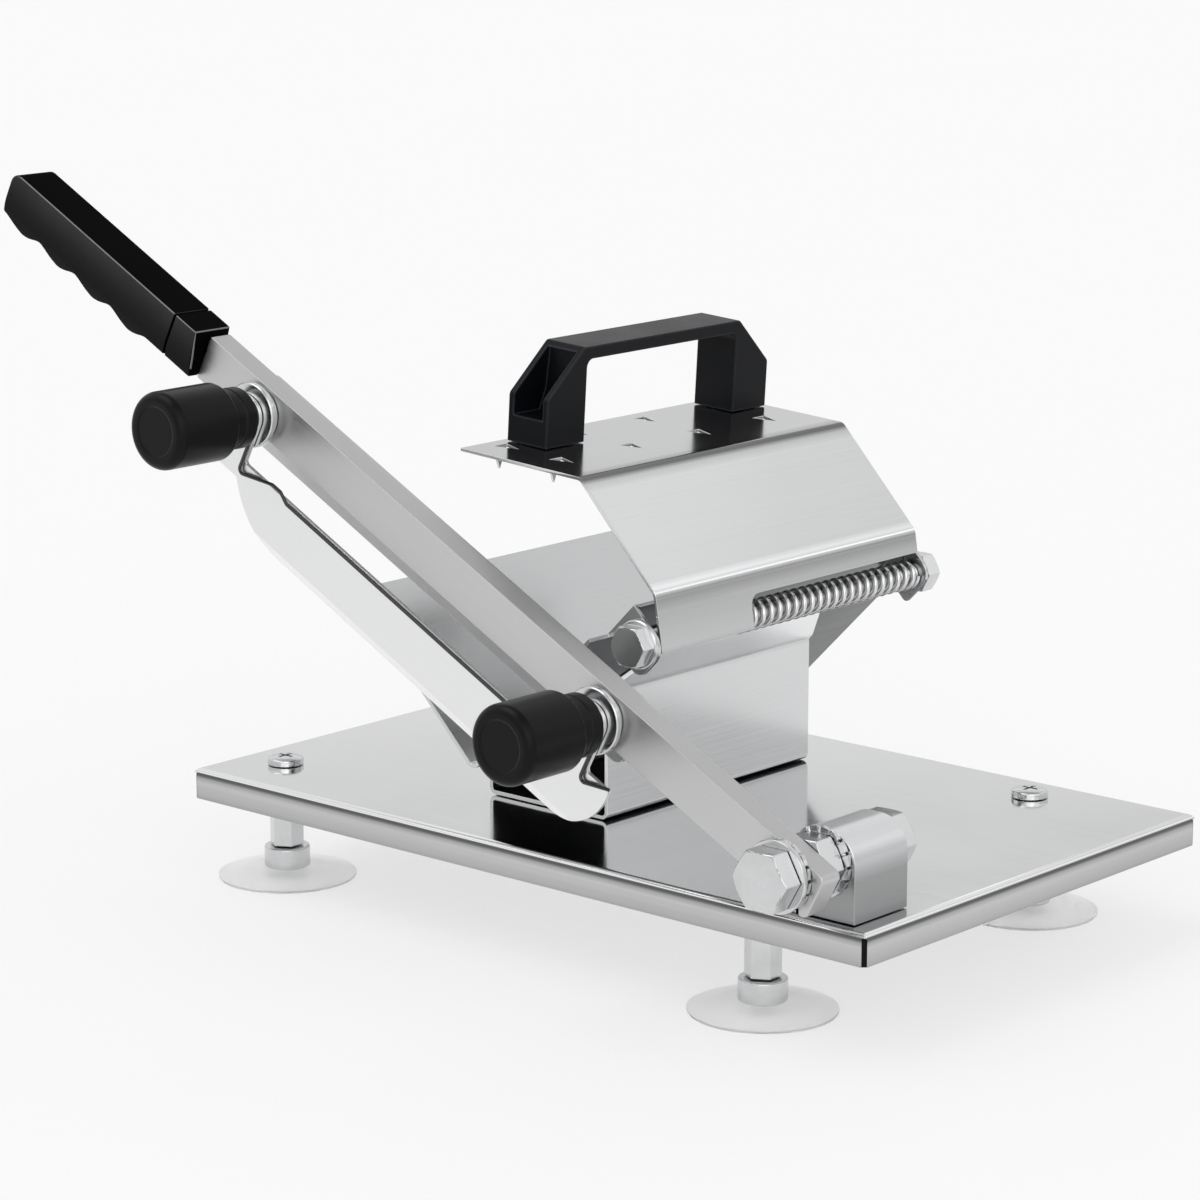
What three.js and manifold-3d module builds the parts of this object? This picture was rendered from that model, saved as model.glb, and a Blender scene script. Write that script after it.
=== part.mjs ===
import * as THREE from 'three';
import { mergeVertices } from 'three/addons/utils/BufferGeometryUtils.js';
import Module from 'manifold-3d';

const wasm = await Module();
wasm.setup();

// Hand slicer for frozen meat: a folded base on suction feet, a V tray on a stand, a sprung press
// on a rod, and a long lever with a clamped blade. Millimetres. X runs along the base to the
// right, Y away from the cut and Z up. The pieces are placed about the base's centre on the
// table, and at the end the whole model is moved so that its box is centred over the origin.

// Fits
const seatGap = 0.3;
const runningGap = 0.1;
const overrun = 3;

// Steps of round shapes
const roundSides = 24;
const smallSides = 16;
const coneSides = 18;
const coneSlopeShare = 0.5;
const arcSteps = 4;
const leastTurn = 0.0001;

// Folded base plate
const baseLength = 306;
const baseDepth = 187;
const baseTop = 41.7;
const baseSheet = 1.2;
const skirtDepth = 11.2;
const baseFoldRadius = 1;

// Feet: a screw through the base, a hex standoff, a collar nut and a suction cup
const leftFootInsetX = 20.8;
const leftFootInsetY = 26;
const rightFootInsetX = 56.4;
const rightFootInsetY = 19.4;
const cupRadius = 25;
const cupLip = 1.6;
const cupEdge = 0.9;
const cupHollow = 1.3;
const cupRise = 3.2;
const cupCrownRadius = 9;
const footThreadRadius = 2.9;
const footThreadHold = 7;
const collarRadius = 8.3;
const collarHeight = 8;
const collarEdge = 0.8;
const standoffAcrossFlats = 11;
const footScrewHeadRadius = 6.5;
const footScrewHeadHeight = 3;
const footScrewEdgeShare = 0.55;
const footScrewCrownShares = [[0.8, 0.75], [0.4, 1]];
const footScrewHold = 10;
const crossRecessWidth = 1.3;
const crossRecessLength = 6.4;
const crossRecessDepth = 1.4;

// Stand and V tray
const standSheet = 1.5;
const standLeft = -48.3;
const standRight = 7;
const standFront = -49;
const standRear = 61.7;
const standBend = 1.2;
const flangeLength = 19;
const flangeChamfer = 11;
const traySheet = 1.5;
const trayBend = 2;
const trayFront = -87;
const trayRear = 89.5;
const rightWallLength = 92;
const leftWallLength = 78;
const standBendHeight = 45.6;
const nearTabFront = -77.5;
const farTabRear = 71;
const tabBelow = 9;
const tabAbove = 7.2;
const nearTabReach = 8.4;
const nearTabCorners = [4, 7];
const farTabReach = 6.4;
const farTabCorners = [1.5, 6];

// Press rod, its nut and its spring
const rodX = 46;
const rodZ = 115.5;
const rodRadius = 3.5;
const rodHeadAcrossFlats = 13;
const rodHeadHeight = 4.8;
const rodFlangeRadius = 8.4;
const rodFlangeHeight = 1.5;
const rodNutHeight = 6.5;
const rodEndStick = 1.5;
const springWireRadius = 0.8;
const springCoilRadius = 4.5;
const springCurls = 22;
const springEndPitch = 2.7;
const curlSteps = 8;
const springSides = 5;
const springFront = -26.3;
const springProbes = 24;
const thrustWasherThickness = 1.5;
const thrustWasherRadius = 5.3;

// Press plate, seen from the rod in its own level frame, and tilted as it stands
const pressTilt = THREE.MathUtils.degToRad(3.6);
const pressSheet = 1.2;
const pressFront = -74.5;
const pressRear = 66.5;
const pressTop = 49.8;
const pressLeftEdge = -86.4;
const pressTopBendX = -31.8;
const pressSideBendX = 3.2;
const pressSideBendZ = 17.2;
const pressLipX = 7.5;
const pressLipZ = -2.1;
const pressBend = 1.6;
const notchFront = -26.6;
const notchTop = 9.3;
const notchCorner = 4;
const toothBase = 6;
const toothLength = 8;
const toothDrop = 8.5;
const toothPitch = 36;
const firstTooth = -60;
const rightToothRowX = -56;
const leftToothRowX = -81;
const rightRowTeeth = 4;
const leftRowTeeth = 3;

// Press handle
const handleThickness = 18;
const handleLeft = -83.8;
const handleFront = -54;
const handleRear = 64;
const handleHeight = 33.3;
const handleShoulder = 16.9;
const handleTopFront = -36;
const handleTopRear = 47;
const windowFront = -34.5;
const windowRear = 45.5;
const windowTop = 28.8;
const windowCorner = 3;
const handleCorner = 2;
const handleBevel = 0.8;
const pocketWall = 3;
const pocketDepth = 5;
const pocketRiseShare = 0.67;
const pocketLedge = 9.5;
const handleScrewRadius = 2.4;
const handleScrewHold = 8;
const handleScrewHeadRadius = 4.4;
const handleScrewHeadHeight = 2.6;
const screwCrownShare = 0.7;

// Pivot block, bolt, nuts and washers
const pivotInset = 20.5;
const pivotX = baseLength / 2 - pivotInset;
const pivotZ = 60.8;
const blockWidth = 26;
const blockTopRise = 10.7;
const blockTopRadius = 11;
const blockFront = -89.3;
const blockRear = -61.8;
const blockScrewRadius = 2.4;
const blockScrewHeadRadius = 4.4;
const blockScrewHeadHeight = 2.6;
const blockScrewHold = 8;
const blockScrewInset = 7;
const pivotRadius = 6;
const pivotAcrossFlats = 19;
const pivotHeadHeight = 7.5;
const pivotTipInset = 1.5;
const lockWasherThickness = 1.5;
const lockWasherRadius = 11.8;
const lockWasherTeeth = 16;
const stepsPerTooth = 4;
const lockToothShare = 0.1;
const pivotWasherThickness = 2;
const pivotWasherRadius = 12;

// Lever: reach runs from the pivot toward the grip, height square to it
const leverAngle = THREE.MathUtils.degToRad(27.6);
const armRear = -100.5;
const armThickness = 9;
const armWidth = 16.6;
const armOffset = 0.7;
const armTail = 14.2;
const armCorner = 2.5;
const tangWidth = 10;
const tangThickness = 5;
const backingBottom = -17.8;
const backingTop = 8;
const backingThickness = 2;
const backingCorner = 4;
const lowerStudReach = 84;
const upperStudReach = 260;
const backingEndInset = 8.4;
const backingEndRun = 10;
const backingStart = lowerStudReach - backingEndInset;
const backingEnd = upperStudReach + backingEndRun;
const studHeight = -1.5;
const studRadius = 4;
const studHeadRadius = 6.5;
const studHeadHeight = 2.5;
const studEndInset = 1.2;

// Grip
const gripFromStud = 31;
const gripStart = upperStudReach + gripFromStud;
const armIntoGrip = 1;
const armEnd = gripStart + armIntoGrip;
const gripMouthLean = 3.3;
const gripLength = 108.2;
const gripEnd = gripStart + gripLength;
const tangEndInset = 18.2;
const tangEnd = gripEnd - tangEndInset;
const gripFront = -115.2;
const gripThickness = 16.4;
const gripTop = 10.2;
const gripBottom = -6.8;
const gripBumps = 4;
const gripBumpPitch = 20.6;
const gripBumpHeight = 3.3;
const firstBumpInset = 35.2;
const firstBump = gripStart + firstBumpInset;
const bumpSteps = 8;
const gripBevel = 2.2;
const gripTipCorner = 4;

// Blade, its spacers, wire and knobs
const spacerThickness = 4.7;
const spacerFlangeThickness = 2.3;
const spacerFlangeRadius = 11.3;
const spacerBossRadius = 9.3;
const bladeThickness = 1.5;
const bladeEdge = -38.2;
const bladeTop = -16.3;
const bladeBevelWidth = 3;
const bladeEdgeLand = 0.35;
const bladeTipRun = 18.1;
const bladeTipReach = lowerStudReach - bladeTipRun;
const bladeTipRadius = 19;
const bladeHeelInset = 5.6;
const bladeHeelSlant = 12.4;
const bladeHeelReach = upperStudReach - bladeHeelInset;
const bladeHeelCornerReach = bladeHeelReach - bladeHeelSlant;
const bladeHeelRadius = 38;
const earRadius = 7;
const lowerEarCorner = 6.8;
const earFoot = -23;
const earReachOut = 8.5;
const earFillet = 1.5;
const wireRadius = 0.8;
const wireLoopRadius = 6.4;
const wireLoopOpening = THREE.MathUtils.degToRad(60);
const wireRun = -16.8;
const wireDip = -20.5;
const wireKneeLength = 16;
const wireKneeHeight = -14.6;
const wireKneeFlat = 4.4;
const wireKneeSlope = 4.3;
const wireHookLength = 12;
const wireHookHeight = -15;
const wireBend = 1.8;
const wireSides = 5;
const wireSteps = 70;
const knobNeckRadius = 10.6;
const knobNeckLength = 9.5;
const knobSlope = 2;
const knobRadius = 13.4;
const knobFront = -157.8;
const knobRound = 3.2;
const knobFaceRadius = 8.8;
const knobFaceDepth = 0.4;
const bushFlangeRadius = 8.6;
const bushFlangeThickness = 1.1;
const bushRadius = 6;
const bushLength = 22;

// Colours and finishes
function finish(color, roughness, metalness) {
  return new THREE.MeshStandardMaterial({ color, roughness, metalness });
}
const finishes = {
  polished: finish(0xd4d5d6, 0.18, 1),
  brushed: finish(0xc4c5c7, 0.34, 1),
  zinc: finish(0xb9bbbd, 0.3, 1),
  bladeSteel: finish(0xdcdddd, 0.22, 1),
  darkSteel: finish(0x55585b, 0.4, 1),
  satinPlastic: finish(0x1b1d20, 0.42, 0),
  knobPlastic: finish(0x141414, 0.3, 0),
  rubber: finish(0x0e0e0f, 0.55, 0),
  cupPlastic: finish(0xdfe1df, 0.25, 0),
};

// A closed geometry as a solid that can be joined and cut
function toSolid(geometry) {
  const bare = geometry.clone();
  bare.deleteAttribute('normal');
  bare.deleteAttribute('uv');
  const merged = mergeVertices(bare);
  const index = merged.index.array;
  const faces = [];
  for (let i = 0; i < index.length; i += 3) {
    const [a, b, c] = [index[i], index[i + 1], index[i + 2]];
    if (a !== b && b !== c && c !== a) faces.push(a, b, c);
  }
  const vertProperties = new Float32Array(merged.attributes.position.array);
  const triVerts = new Uint32Array(faces);
  return new wasm.Manifold(new wasm.Mesh({ numProp: 3, vertProperties, triVerts }));
}

function toGeometry(solid) {
  const { vertProperties, triVerts } = solid.getMesh();
  const geometry = new THREE.BufferGeometry();
  geometry.setAttribute('position', new THREE.BufferAttribute(vertProperties, 3));
  geometry.setIndex(new THREE.BufferAttribute(triVerts, 1));
  geometry.computeVertexNormals();
  return geometry;
}

function cut(geometry, cutters) {
  let solid = toSolid(geometry);
  for (const cutter of cutters) {
    solid = solid.subtract(toSolid(cutter));
  }
  return toGeometry(solid);
}

function join(geometries) {
  let solid = toSolid(geometries[0]);
  for (const other of geometries.slice(1)) {
    solid = solid.add(toSolid(other));
  }
  return toGeometry(solid);
}

// Points of an arc that rounds the corner at b with a radius, on the way from a to c
function cornerArc(a, b, c, radius) {
  const before = new THREE.Vector2(b[0] - a[0], b[1] - a[1]).normalize();
  const after = new THREE.Vector2(c[0] - b[0], c[1] - b[1]).normalize();
  const turn = Math.atan2(before.cross(after), before.dot(after));
  if (!radius || Math.abs(turn) < leastTurn) return [new THREE.Vector2(b[0], b[1])];
  const tangent = radius * Math.tan(Math.abs(turn) / 2);
  const start = new THREE.Vector2(b[0], b[1]).addScaledVector(before, -tangent);
  const side = Math.sign(turn);
  const centre = start.clone().add(new THREE.Vector2(-before.y, before.x).multiplyScalar(side * radius));
  const points = [];
  for (let i = 0; i <= arcSteps; i += 1) {
    points.push(start.clone().rotateAround(centre, (turn * i) / arcSteps));
  }
  return points;
}

// A closed outline from corners [x, y, radius]
function outline(corners) {
  const points = corners.flatMap((corner, i) => {
    const before = corners[(i + corners.length - 1) % corners.length];
    const after = corners[(i + 1) % corners.length];
    return cornerArc(before, corner, after, corner[2] ?? 0);
  });
  return new THREE.Shape(points);
}

// The outline of a bent sheet: the line runs along one face and the sheet lies to its right
function sheetOutline(line, thickness, bendRadius) {
  const normals = line.slice(1).map((point, i) => {
    const along = new THREE.Vector2(point[0] - line[i][0], point[1] - line[i][1]).normalize();
    return new THREE.Vector2(along.y, -along.x);
  });
  const face = [];
  const back = [];
  line.forEach((point, i) => {
    const before = normals[Math.max(i - 1, 0)];
    const after = normals[Math.min(i, normals.length - 1)];
    const turnsRight = before.cross(after) < 0;
    const isEnd = i === 0 || i === line.length - 1;
    const offset = before.clone().add(after).multiplyScalar(thickness / (1 + before.dot(after)));
    face.push([point[0], point[1], isEnd ? 0 : bendRadius + (turnsRight ? thickness : 0)]);
    const backRadius = isEnd ? 0 : bendRadius + (turnsRight ? 0 : thickness);
    back.push([point[0] + offset.x, point[1] + offset.y, backRadius]);
  });
  return outline([...face, ...back.reverse()]);
}

// A shape in X and Z, drawn out along Y
function prismY(shape, front, rear) {
  const geometry = new THREE.ExtrudeGeometry(shape, { depth: rear - front, bevelEnabled: false });
  geometry.rotateX(Math.PI / 2);
  geometry.translate(0, rear, 0);
  return geometry;
}

// A shape in Y and Z, drawn out along X
function prismX(shape, left, right) {
  const geometry = new THREE.ExtrudeGeometry(shape, { depth: right - left, bevelEnabled: false });
  return turnedToX(geometry).translate(left, 0, 0);
}

function turnedToX(geometry) {
  const turn = new THREE.Matrix4();
  turn.makeBasis(new THREE.Vector3(0, 1, 0), new THREE.Vector3(0, 0, 1), new THREE.Vector3(1, 0, 0));
  return geometry.applyMatrix4(turn);
}

// A shape in X and Y, drawn up along Z
function prismZ(shape, bottom, top) {
  const geometry = new THREE.ExtrudeGeometry(shape, { depth: top - bottom, bevelEnabled: false });
  return geometry.translate(0, 0, bottom);
}

function box(left, right, front, rear, bottom, top) {
  const geometry = new THREE.BoxGeometry(right - left, rear - front, top - bottom);
  return geometry.translate((left + right) / 2, (front + rear) / 2, (bottom + top) / 2);
}

function cylinderY(radius, front, rear, sides = roundSides) {
  const geometry = new THREE.CylinderGeometry(radius, radius, rear - front, sides);
  return geometry.translate(0, (front + rear) / 2, 0);
}

function cylinderZ(radius, bottom, top, sides = smallSides) {
  const geometry = new THREE.CylinderGeometry(radius, radius, top - bottom, sides);
  return geometry.rotateX(Math.PI / 2).translate(0, 0, (bottom + top) / 2);
}

// A profile of [radius, place] points turned round the Y axis or the Z axis
function turnedY(profile, sides = roundSides) {
  const points = profile.map(([radius, place]) => new THREE.Vector2(radius, place));
  return new THREE.LatheGeometry(points, sides);
}

function turnedZ(profile, sides = roundSides) {
  return turnedY(profile, sides).rotateX(Math.PI / 2);
}

function hexCorner(acrossFlats) {
  return acrossFlats / Math.sqrt(3);
}

// A hexagon along Y with its corners taken off by a cone at one or both ends
function hexY(acrossFlats, front, rear, chamferFront, chamferRear) {
  const corner = hexCorner(acrossFlats);
  const hex = new THREE.CylinderGeometry(corner, corner, rear - front, 6);
  hex.translate(0, (front + rear) / 2, 0);
  const flat = acrossFlats / 2;
  const reach = corner + overrun;
  const keep = turnedY([
    [0, front],
    [chamferFront ? flat : reach, front],
    [reach, chamferFront ? front + (reach - flat) * coneSlopeShare : front],
    [reach, chamferRear ? rear - (reach - flat) * coneSlopeShare : rear],
    [chamferRear ? flat : reach, rear],
    [0, rear],
  ], coneSides);
  return toGeometry(toSolid(hex).intersect(toSolid(keep)));
}

function moved(geometry, x, y, z) {
  return geometry.translate(x, y, z);
}

function addPiece(group, name, geometry, material) {
  const mesh = new THREE.Mesh(geometry, material);
  mesh.name = name;
  group.add(mesh);
  return mesh;
}

const machine = new THREE.Group();

// Base and feet
const baseUnderside = baseTop - baseSheet;
const skirtBottom = baseTop - skirtDepth;
const footThreadHole = footThreadRadius + seatGap;
const footPlaces = [
  [-baseLength / 2 + leftFootInsetX, -baseDepth / 2 + leftFootInsetY],
  [-baseLength / 2 + leftFootInsetX, baseDepth / 2 - leftFootInsetY],
  [baseLength / 2 - rightFootInsetX, -baseDepth / 2 + rightFootInsetY],
  [baseLength / 2 - rightFootInsetX, baseDepth / 2 - rightFootInsetY],
];
const standCentreX = (standLeft + standRight) / 2;
const blockScrewPlaces = [
  [pivotX, blockFront + blockScrewInset],
  [pivotX, blockRear - blockScrewInset],
];

function basePlate() {
  const profile = outline([
    [-baseLength / 2, skirtBottom],
    [baseLength / 2, skirtBottom],
    [baseLength / 2, baseTop, baseFoldRadius + baseSheet],
    [-baseLength / 2, baseTop, baseFoldRadius + baseSheet],
  ]);
  const crossProfile = outline([
    [-baseDepth / 2, skirtBottom],
    [baseDepth / 2, skirtBottom],
    [baseDepth / 2, baseTop, baseFoldRadius + baseSheet],
    [-baseDepth / 2, baseTop, baseFoldRadius + baseSheet],
  ]);
  const lengthwise = toSolid(prismY(profile, -baseDepth / 2, baseDepth / 2));
  const crosswise = toSolid(prismX(crossProfile, -baseLength / 2, baseLength / 2));
  const shell = toGeometry(lengthwise.intersect(crosswise));
  const innerLength = baseLength / 2 - baseSheet;
  const innerDepth = baseDepth / 2 - baseSheet;
  const hollowBottom = skirtBottom - overrun;
  const hollow = box(-innerLength, innerLength, -innerDepth, innerDepth, hollowBottom, baseUnderside);
  const holes = footPlaces.map(([x, y]) => {
    return moved(cylinderZ(footThreadHole, skirtBottom, baseTop + overrun), x, y, 0);
  });
  const blockHoles = blockScrewPlaces.map(([x, y]) => {
    return moved(cylinderZ(blockScrewRadius + seatGap, skirtBottom, baseTop + overrun), x, y, 0);
  });
  return cut(shell, [hollow, ...holes, ...blockHoles]);
}

const collarBottom = cupRise + seatGap;
const collarTop = collarBottom + collarHeight;
const standoffBottom = collarTop + seatGap;
const standoffTop = baseUnderside - seatGap;
const screwHeadBottom = baseTop + seatGap;

function suctionCup() {
  const stemTop = standoffBottom + footThreadHold;
  return turnedZ([
    [0, cupHollow],
    [cupCrownRadius, cupHollow],
    [cupRadius - cupLip, 0],
    [cupRadius, 0],
    [cupRadius, cupEdge],
    [cupCrownRadius, cupRise],
    [footThreadRadius, cupRise],
    [footThreadRadius, stemTop],
    [0, stemTop],
  ]);
}

function collarNut() {
  return turnedZ([
    [footThreadHole, collarBottom],
    [collarRadius - collarEdge, collarBottom],
    [collarRadius, collarBottom + collarEdge],
    [collarRadius, collarTop - collarEdge],
    [collarRadius - collarEdge, collarTop],
    [footThreadHole, collarTop],
    [footThreadHole, collarBottom],
  ], smallSides);
}

function standoff() {
  const corner = hexCorner(standoffAcrossFlats);
  const bar = new THREE.CylinderGeometry(corner, corner, standoffTop - standoffBottom, 6);
  bar.rotateX(Math.PI / 2).translate(0, 0, (standoffTop + standoffBottom) / 2);
  const lowerEnd = standoffBottom + footThreadHold + seatGap;
  const upperEnd = screwHeadBottom - baseSheet - footScrewHold;
  const lowerBore = cylinderZ(footThreadHole, standoffBottom - overrun, lowerEnd);
  const upperBore = cylinderZ(footThreadHole, upperEnd, standoffTop + overrun);
  return cut(bar, [lowerBore, upperBore]);
}

function footScrew() {
  const tip = screwHeadBottom - baseSheet - footScrewHold + seatGap;
  const headTop = screwHeadBottom + footScrewHeadHeight;
  const edgeTop = screwHeadBottom + footScrewHeadHeight * footScrewEdgeShare;
  const crown = footScrewCrownShares.map(([out, up]) => {
    return [footScrewHeadRadius * out, edgeTop + (headTop - edgeTop) * up];
  });
  const screw = turnedZ([
    [0, tip],
    [footThreadRadius, tip],
    [footThreadRadius, screwHeadBottom],
    [footScrewHeadRadius, screwHeadBottom],
    [footScrewHeadRadius, edgeTop],
    ...crown,
    [0, headTop],
  ], smallSides);
  const bottom = headTop - crossRecessDepth;
  const halfLength = crossRecessLength / 2;
  const halfWidth = crossRecessWidth / 2;
  return cut(screw, [
    box(-halfLength, halfLength, -halfWidth, halfWidth, bottom, headTop + overrun),
    box(-halfWidth, halfWidth, -halfLength, halfLength, bottom, headTop + overrun),
  ]);
}

addPiece(machine, 'base_plate', basePlate(), finishes.polished);
footPlaces.forEach(([x, y], i) => {
  const foot = new THREE.Group();
  foot.position.set(x, y, 0);
  const number = i + 1;
  addPiece(foot, `suction_cup_${number}`, suctionCup(), finishes.cupPlastic);
  addPiece(foot, `foot_nut_${number}`, collarNut(), finishes.zinc);
  addPiece(foot, `foot_standoff_${number}`, standoff(), finishes.zinc);
  addPiece(foot, `foot_screw_${number}`, footScrew(), finishes.zinc);
  machine.add(foot);
});

// Stand: a sheet channel whose flanges lie under the tray
const standBottom = baseTop + seatGap;
const standShoulder = baseTop + standBendHeight;

function stand() {
  const step = flangeLength / Math.SQRT2;
  const profile = sheetOutline([
    [standRight + step, standShoulder + step],
    [standRight, standShoulder],
    [standRight, standBottom],
    [standLeft, standBottom],
    [standLeft, standShoulder],
    [standLeft - step, standShoulder + step],
  ], standSheet, standBend);
  const channel = prismY(profile, standFront, standRear);
  const cutters = [];
  for (const [edge, out] of [[standRight, 1], [standLeft, -1]]) {
    for (const [end, away] of [[standFront, -1], [standRear, 1]]) {
      const chamfer = outline([
        [edge + out * step * 2, end + away * overrun],
        [edge + out * standSheet, end + away * overrun],
        [edge + out * standSheet, end],
        [edge + out * step, end - away * flangeChamfer],
        [edge + out * step * 2, end - away * flangeChamfer],
      ]);
      cutters.push(prismZ(chamfer, standShoulder - standSheet, standShoulder + step + overrun));
    }
  }
  return cut(channel, cutters);
}
addPiece(machine, 'stand', stand(), finishes.brushed);

// V tray: both walls rise at half a right angle from the apex
const flangeLift = (standSheet + seatGap) * Math.SQRT2;
const apexX = standCentreX;
const apexZ = standShoulder - (standRight - standCentreX) + flangeLift;
const rodAlong = ((rodX - apexX) + (rodZ - apexZ)) / Math.SQRT2;
const rodOut = ((rodX - apexX) - (rodZ - apexZ)) / Math.SQRT2;

// A place on the right wall: a length up the wall from the apex and a distance out of its underside
function wallPoint(along, out, radius = 0) {
  return [apexX + (along + out) / Math.SQRT2, apexZ + (along - out) / Math.SQRT2, radius];
}

const nearTabRear = nearTabFront + traySheet;
const farTabFront = farTabRear - traySheet;

function tab(reach, [lowerCorner, upperCorner], front, rear) {
  return prismY(outline([
    wallPoint(rodAlong - tabBelow, -traySheet / 2),
    wallPoint(rodAlong - tabBelow, rodOut + reach, lowerCorner),
    wallPoint(rodAlong + tabAbove, rodOut + reach, upperCorner),
    wallPoint(rodAlong + tabAbove, -traySheet / 2),
  ]), front, rear);
}

// The ends of the right wall's upper strip are cut back to the tabs, which are bent out of it
function meatTray() {
  const left = leftWallLength / Math.SQRT2;
  const right = rightWallLength / Math.SQRT2;
  const walls = prismY(sheetOutline([
    [apexX + right, apexZ + right],
    [apexX, apexZ],
    [apexX - left, apexZ + left],
  ], traySheet, trayBend), trayFront, trayRear);
  const strip = outline([
    wallPoint(rodAlong - tabBelow, overrun),
    wallPoint(rightWallLength + overrun, overrun),
    wallPoint(rightWallLength + overrun, -traySheet - overrun),
    wallPoint(rodAlong - tabBelow, -traySheet - overrun),
  ]);
  const cutBack = cut(walls, [
    prismY(strip, trayFront - overrun, nearTabFront),
    prismY(strip, farTabRear, trayRear + overrun),
  ]);
  const body = join([
    cutBack,
    tab(nearTabReach, nearTabCorners, nearTabFront, nearTabRear),
    tab(farTabReach, farTabCorners, farTabFront, farTabRear),
  ]);
  const hole = cylinderY(rodRadius + seatGap, trayFront - overrun, trayRear + overrun);
  return cut(body, [hole.translate(rodX, 0, rodZ)]);
}
addPiece(machine, 'meat_tray', meatTray(), finishes.brushed);

// Rod, nut, spring and thrust washer, all about the rod's axis
const rodLine = new THREE.Group();
rodLine.position.set(rodX, 0, rodZ);
machine.add(rodLine);
const rodFlangeRear = nearTabFront - seatGap;
const rodFlangeFront = rodFlangeRear - rodFlangeHeight;
const rodNutFront = farTabRear + seatGap;
const rodNutRear = rodNutFront + rodNutHeight;

function pressRod() {
  const shank = cylinderY(rodRadius, rodFlangeFront - rodHeadHeight / 2, rodNutRear + rodEndStick);
  const flange = cylinderY(rodFlangeRadius, rodFlangeFront, rodFlangeRear);
  const headFront = rodFlangeFront - rodHeadHeight;
  const head = hexY(rodHeadAcrossFlats, headFront, rodFlangeFront + rodFlangeHeight / 2, true, false);
  return join([shank, flange, head]);
}

function rodNut() {
  const nut = hexY(rodHeadAcrossFlats, rodNutFront, rodNutRear, true, true);
  return cut(nut, [cylinderY(rodRadius + seatGap, rodNutFront - overrun, rodNutRear + overrun)]);
}

const springRear = farTabFront - seatGap;
const springStart = springFront + springWireRadius;
const springEnd = springRear - springWireRadius;

// Place of the wire's middle along the rod after some curls, with one closer curl at each end
function springPlace(curl) {
  const openPitch = (springEnd - springStart - 2 * springEndPitch) / (springCurls - 2);
  const startCurls = Math.min(curl, 1);
  const endCurls = Math.max(curl - (springCurls - 1), 0);
  const openCurls = curl - startCurls - endCurls;
  return springStart + (startCurls + endCurls) * springEndPitch + openCurls * openPitch;
}

function springPoint(curl) {
  const angle = curl * 2 * Math.PI;
  return new THREE.Vector3(
    springCoilRadius * Math.cos(angle),
    springPlace(curl),
    springCoilRadius * Math.sin(angle),
  );
}

function pressSpring() {
  const rings = springCurls * curlSteps;
  const positions = [];
  for (let ring = 0; ring <= rings; ring += 1) {
    const curl = ring / curlSteps;
    const angle = curl * 2 * Math.PI;
    const middle = springPoint(curl);
    for (let side = 0; side < springSides; side += 1) {
      const roll = (side / springSides) * 2 * Math.PI;
      const radius = springCoilRadius + springWireRadius * Math.cos(roll);
      const place = middle.y + springWireRadius * Math.sin(roll);
      positions.push(radius * Math.cos(angle), place, radius * Math.sin(angle));
    }
  }
  const index = [];
  for (let ring = 0; ring < rings; ring += 1) {
    for (let side = 0; side < springSides; side += 1) {
      const next = (side + 1) % springSides;
      const [a, b] = [ring * springSides + side, ring * springSides + next];
      const [c, d] = [a + springSides, b + springSides];
      index.push(a, b, d, a, d, c);
    }
  }
  for (let side = 1; side < springSides - 1; side += 1) {
    const last = rings * springSides;
    index.push(0, side + 1, side);
    index.push(last, last + side, last + side + 1);
  }
  const geometry = new THREE.BufferGeometry();
  geometry.setAttribute('position', new THREE.Float32BufferAttribute(positions, 3));
  geometry.setIndex(index);
  geometry.computeVertexNormals();
  return geometry;
}

// Least gap between neighbouring curls, measured on points along the wire
function springLeastGap() {
  const points = [];
  for (let i = 0; i <= springCurls * springProbes; i += 1) {
    points.push(springPoint(i / springProbes));
  }
  let least = Infinity;
  for (let i = 0; i < points.length; i += 1) {
    for (let j = i + springProbes / 2; j < points.length; j += 1) {
      least = Math.min(least, points[i].distanceTo(points[j]));
    }
  }
  return least - 2 * springWireRadius;
}
console.log(`press_spring: least gap between curls ${springLeastGap().toFixed(2)} mm`);

const thrustWasherRear = springFront - seatGap;
const thrustWasherFront = thrustWasherRear - thrustWasherThickness;

function ringY(outerRadius, boreRadius, front, rear) {
  return turnedY([
    [boreRadius, front],
    [outerRadius, front],
    [outerRadius, rear],
    [boreRadius, rear],
    [boreRadius, front],
  ]);
}

addPiece(rodLine, 'press_rod', pressRod(), finishes.zinc);
addPiece(rodLine, 'press_rod_nut', rodNut(), finishes.zinc);
addPiece(rodLine, 'press_spring', pressSpring(), finishes.brushed);
addPiece(
  rodLine,
  'press_thrust_washer',
  ringY(thrustWasherRadius, rodRadius + runningGap, thrustWasherFront, thrustWasherRear),
  finishes.zinc,
);

// Press: plate, bearing sleeve, handle and its screws, in the plate's level frame about the rod
const press = new THREE.Group();
press.rotation.y = pressTilt;
rodLine.add(press);
const lipSlope = (pressLipX - pressSideBendX) / (pressSideBendZ - pressLipZ);
const lipFaceAtRod = pressSideBendX + pressSideBendZ * lipSlope;
const sleeveRadius = (lipFaceAtRod - pressSheet) * Math.cos(Math.atan(lipSlope)) - seatGap * 2;
const sleeveFront = nearTabRear + seatGap;
const sleeveRear = thrustWasherFront - seatGap;

// Teeth punched out of the top: a triangular opening whose flap hangs down at the opening's base
function toothPlaces() {
  const places = [];
  for (let i = 0; i < rightRowTeeth; i += 1) places.push([rightToothRowX, firstTooth + i * toothPitch]);
  for (let i = 0; i < leftRowTeeth; i += 1) places.push([leftToothRowX, firstTooth + i * toothPitch]);
  return places;
}

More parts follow.
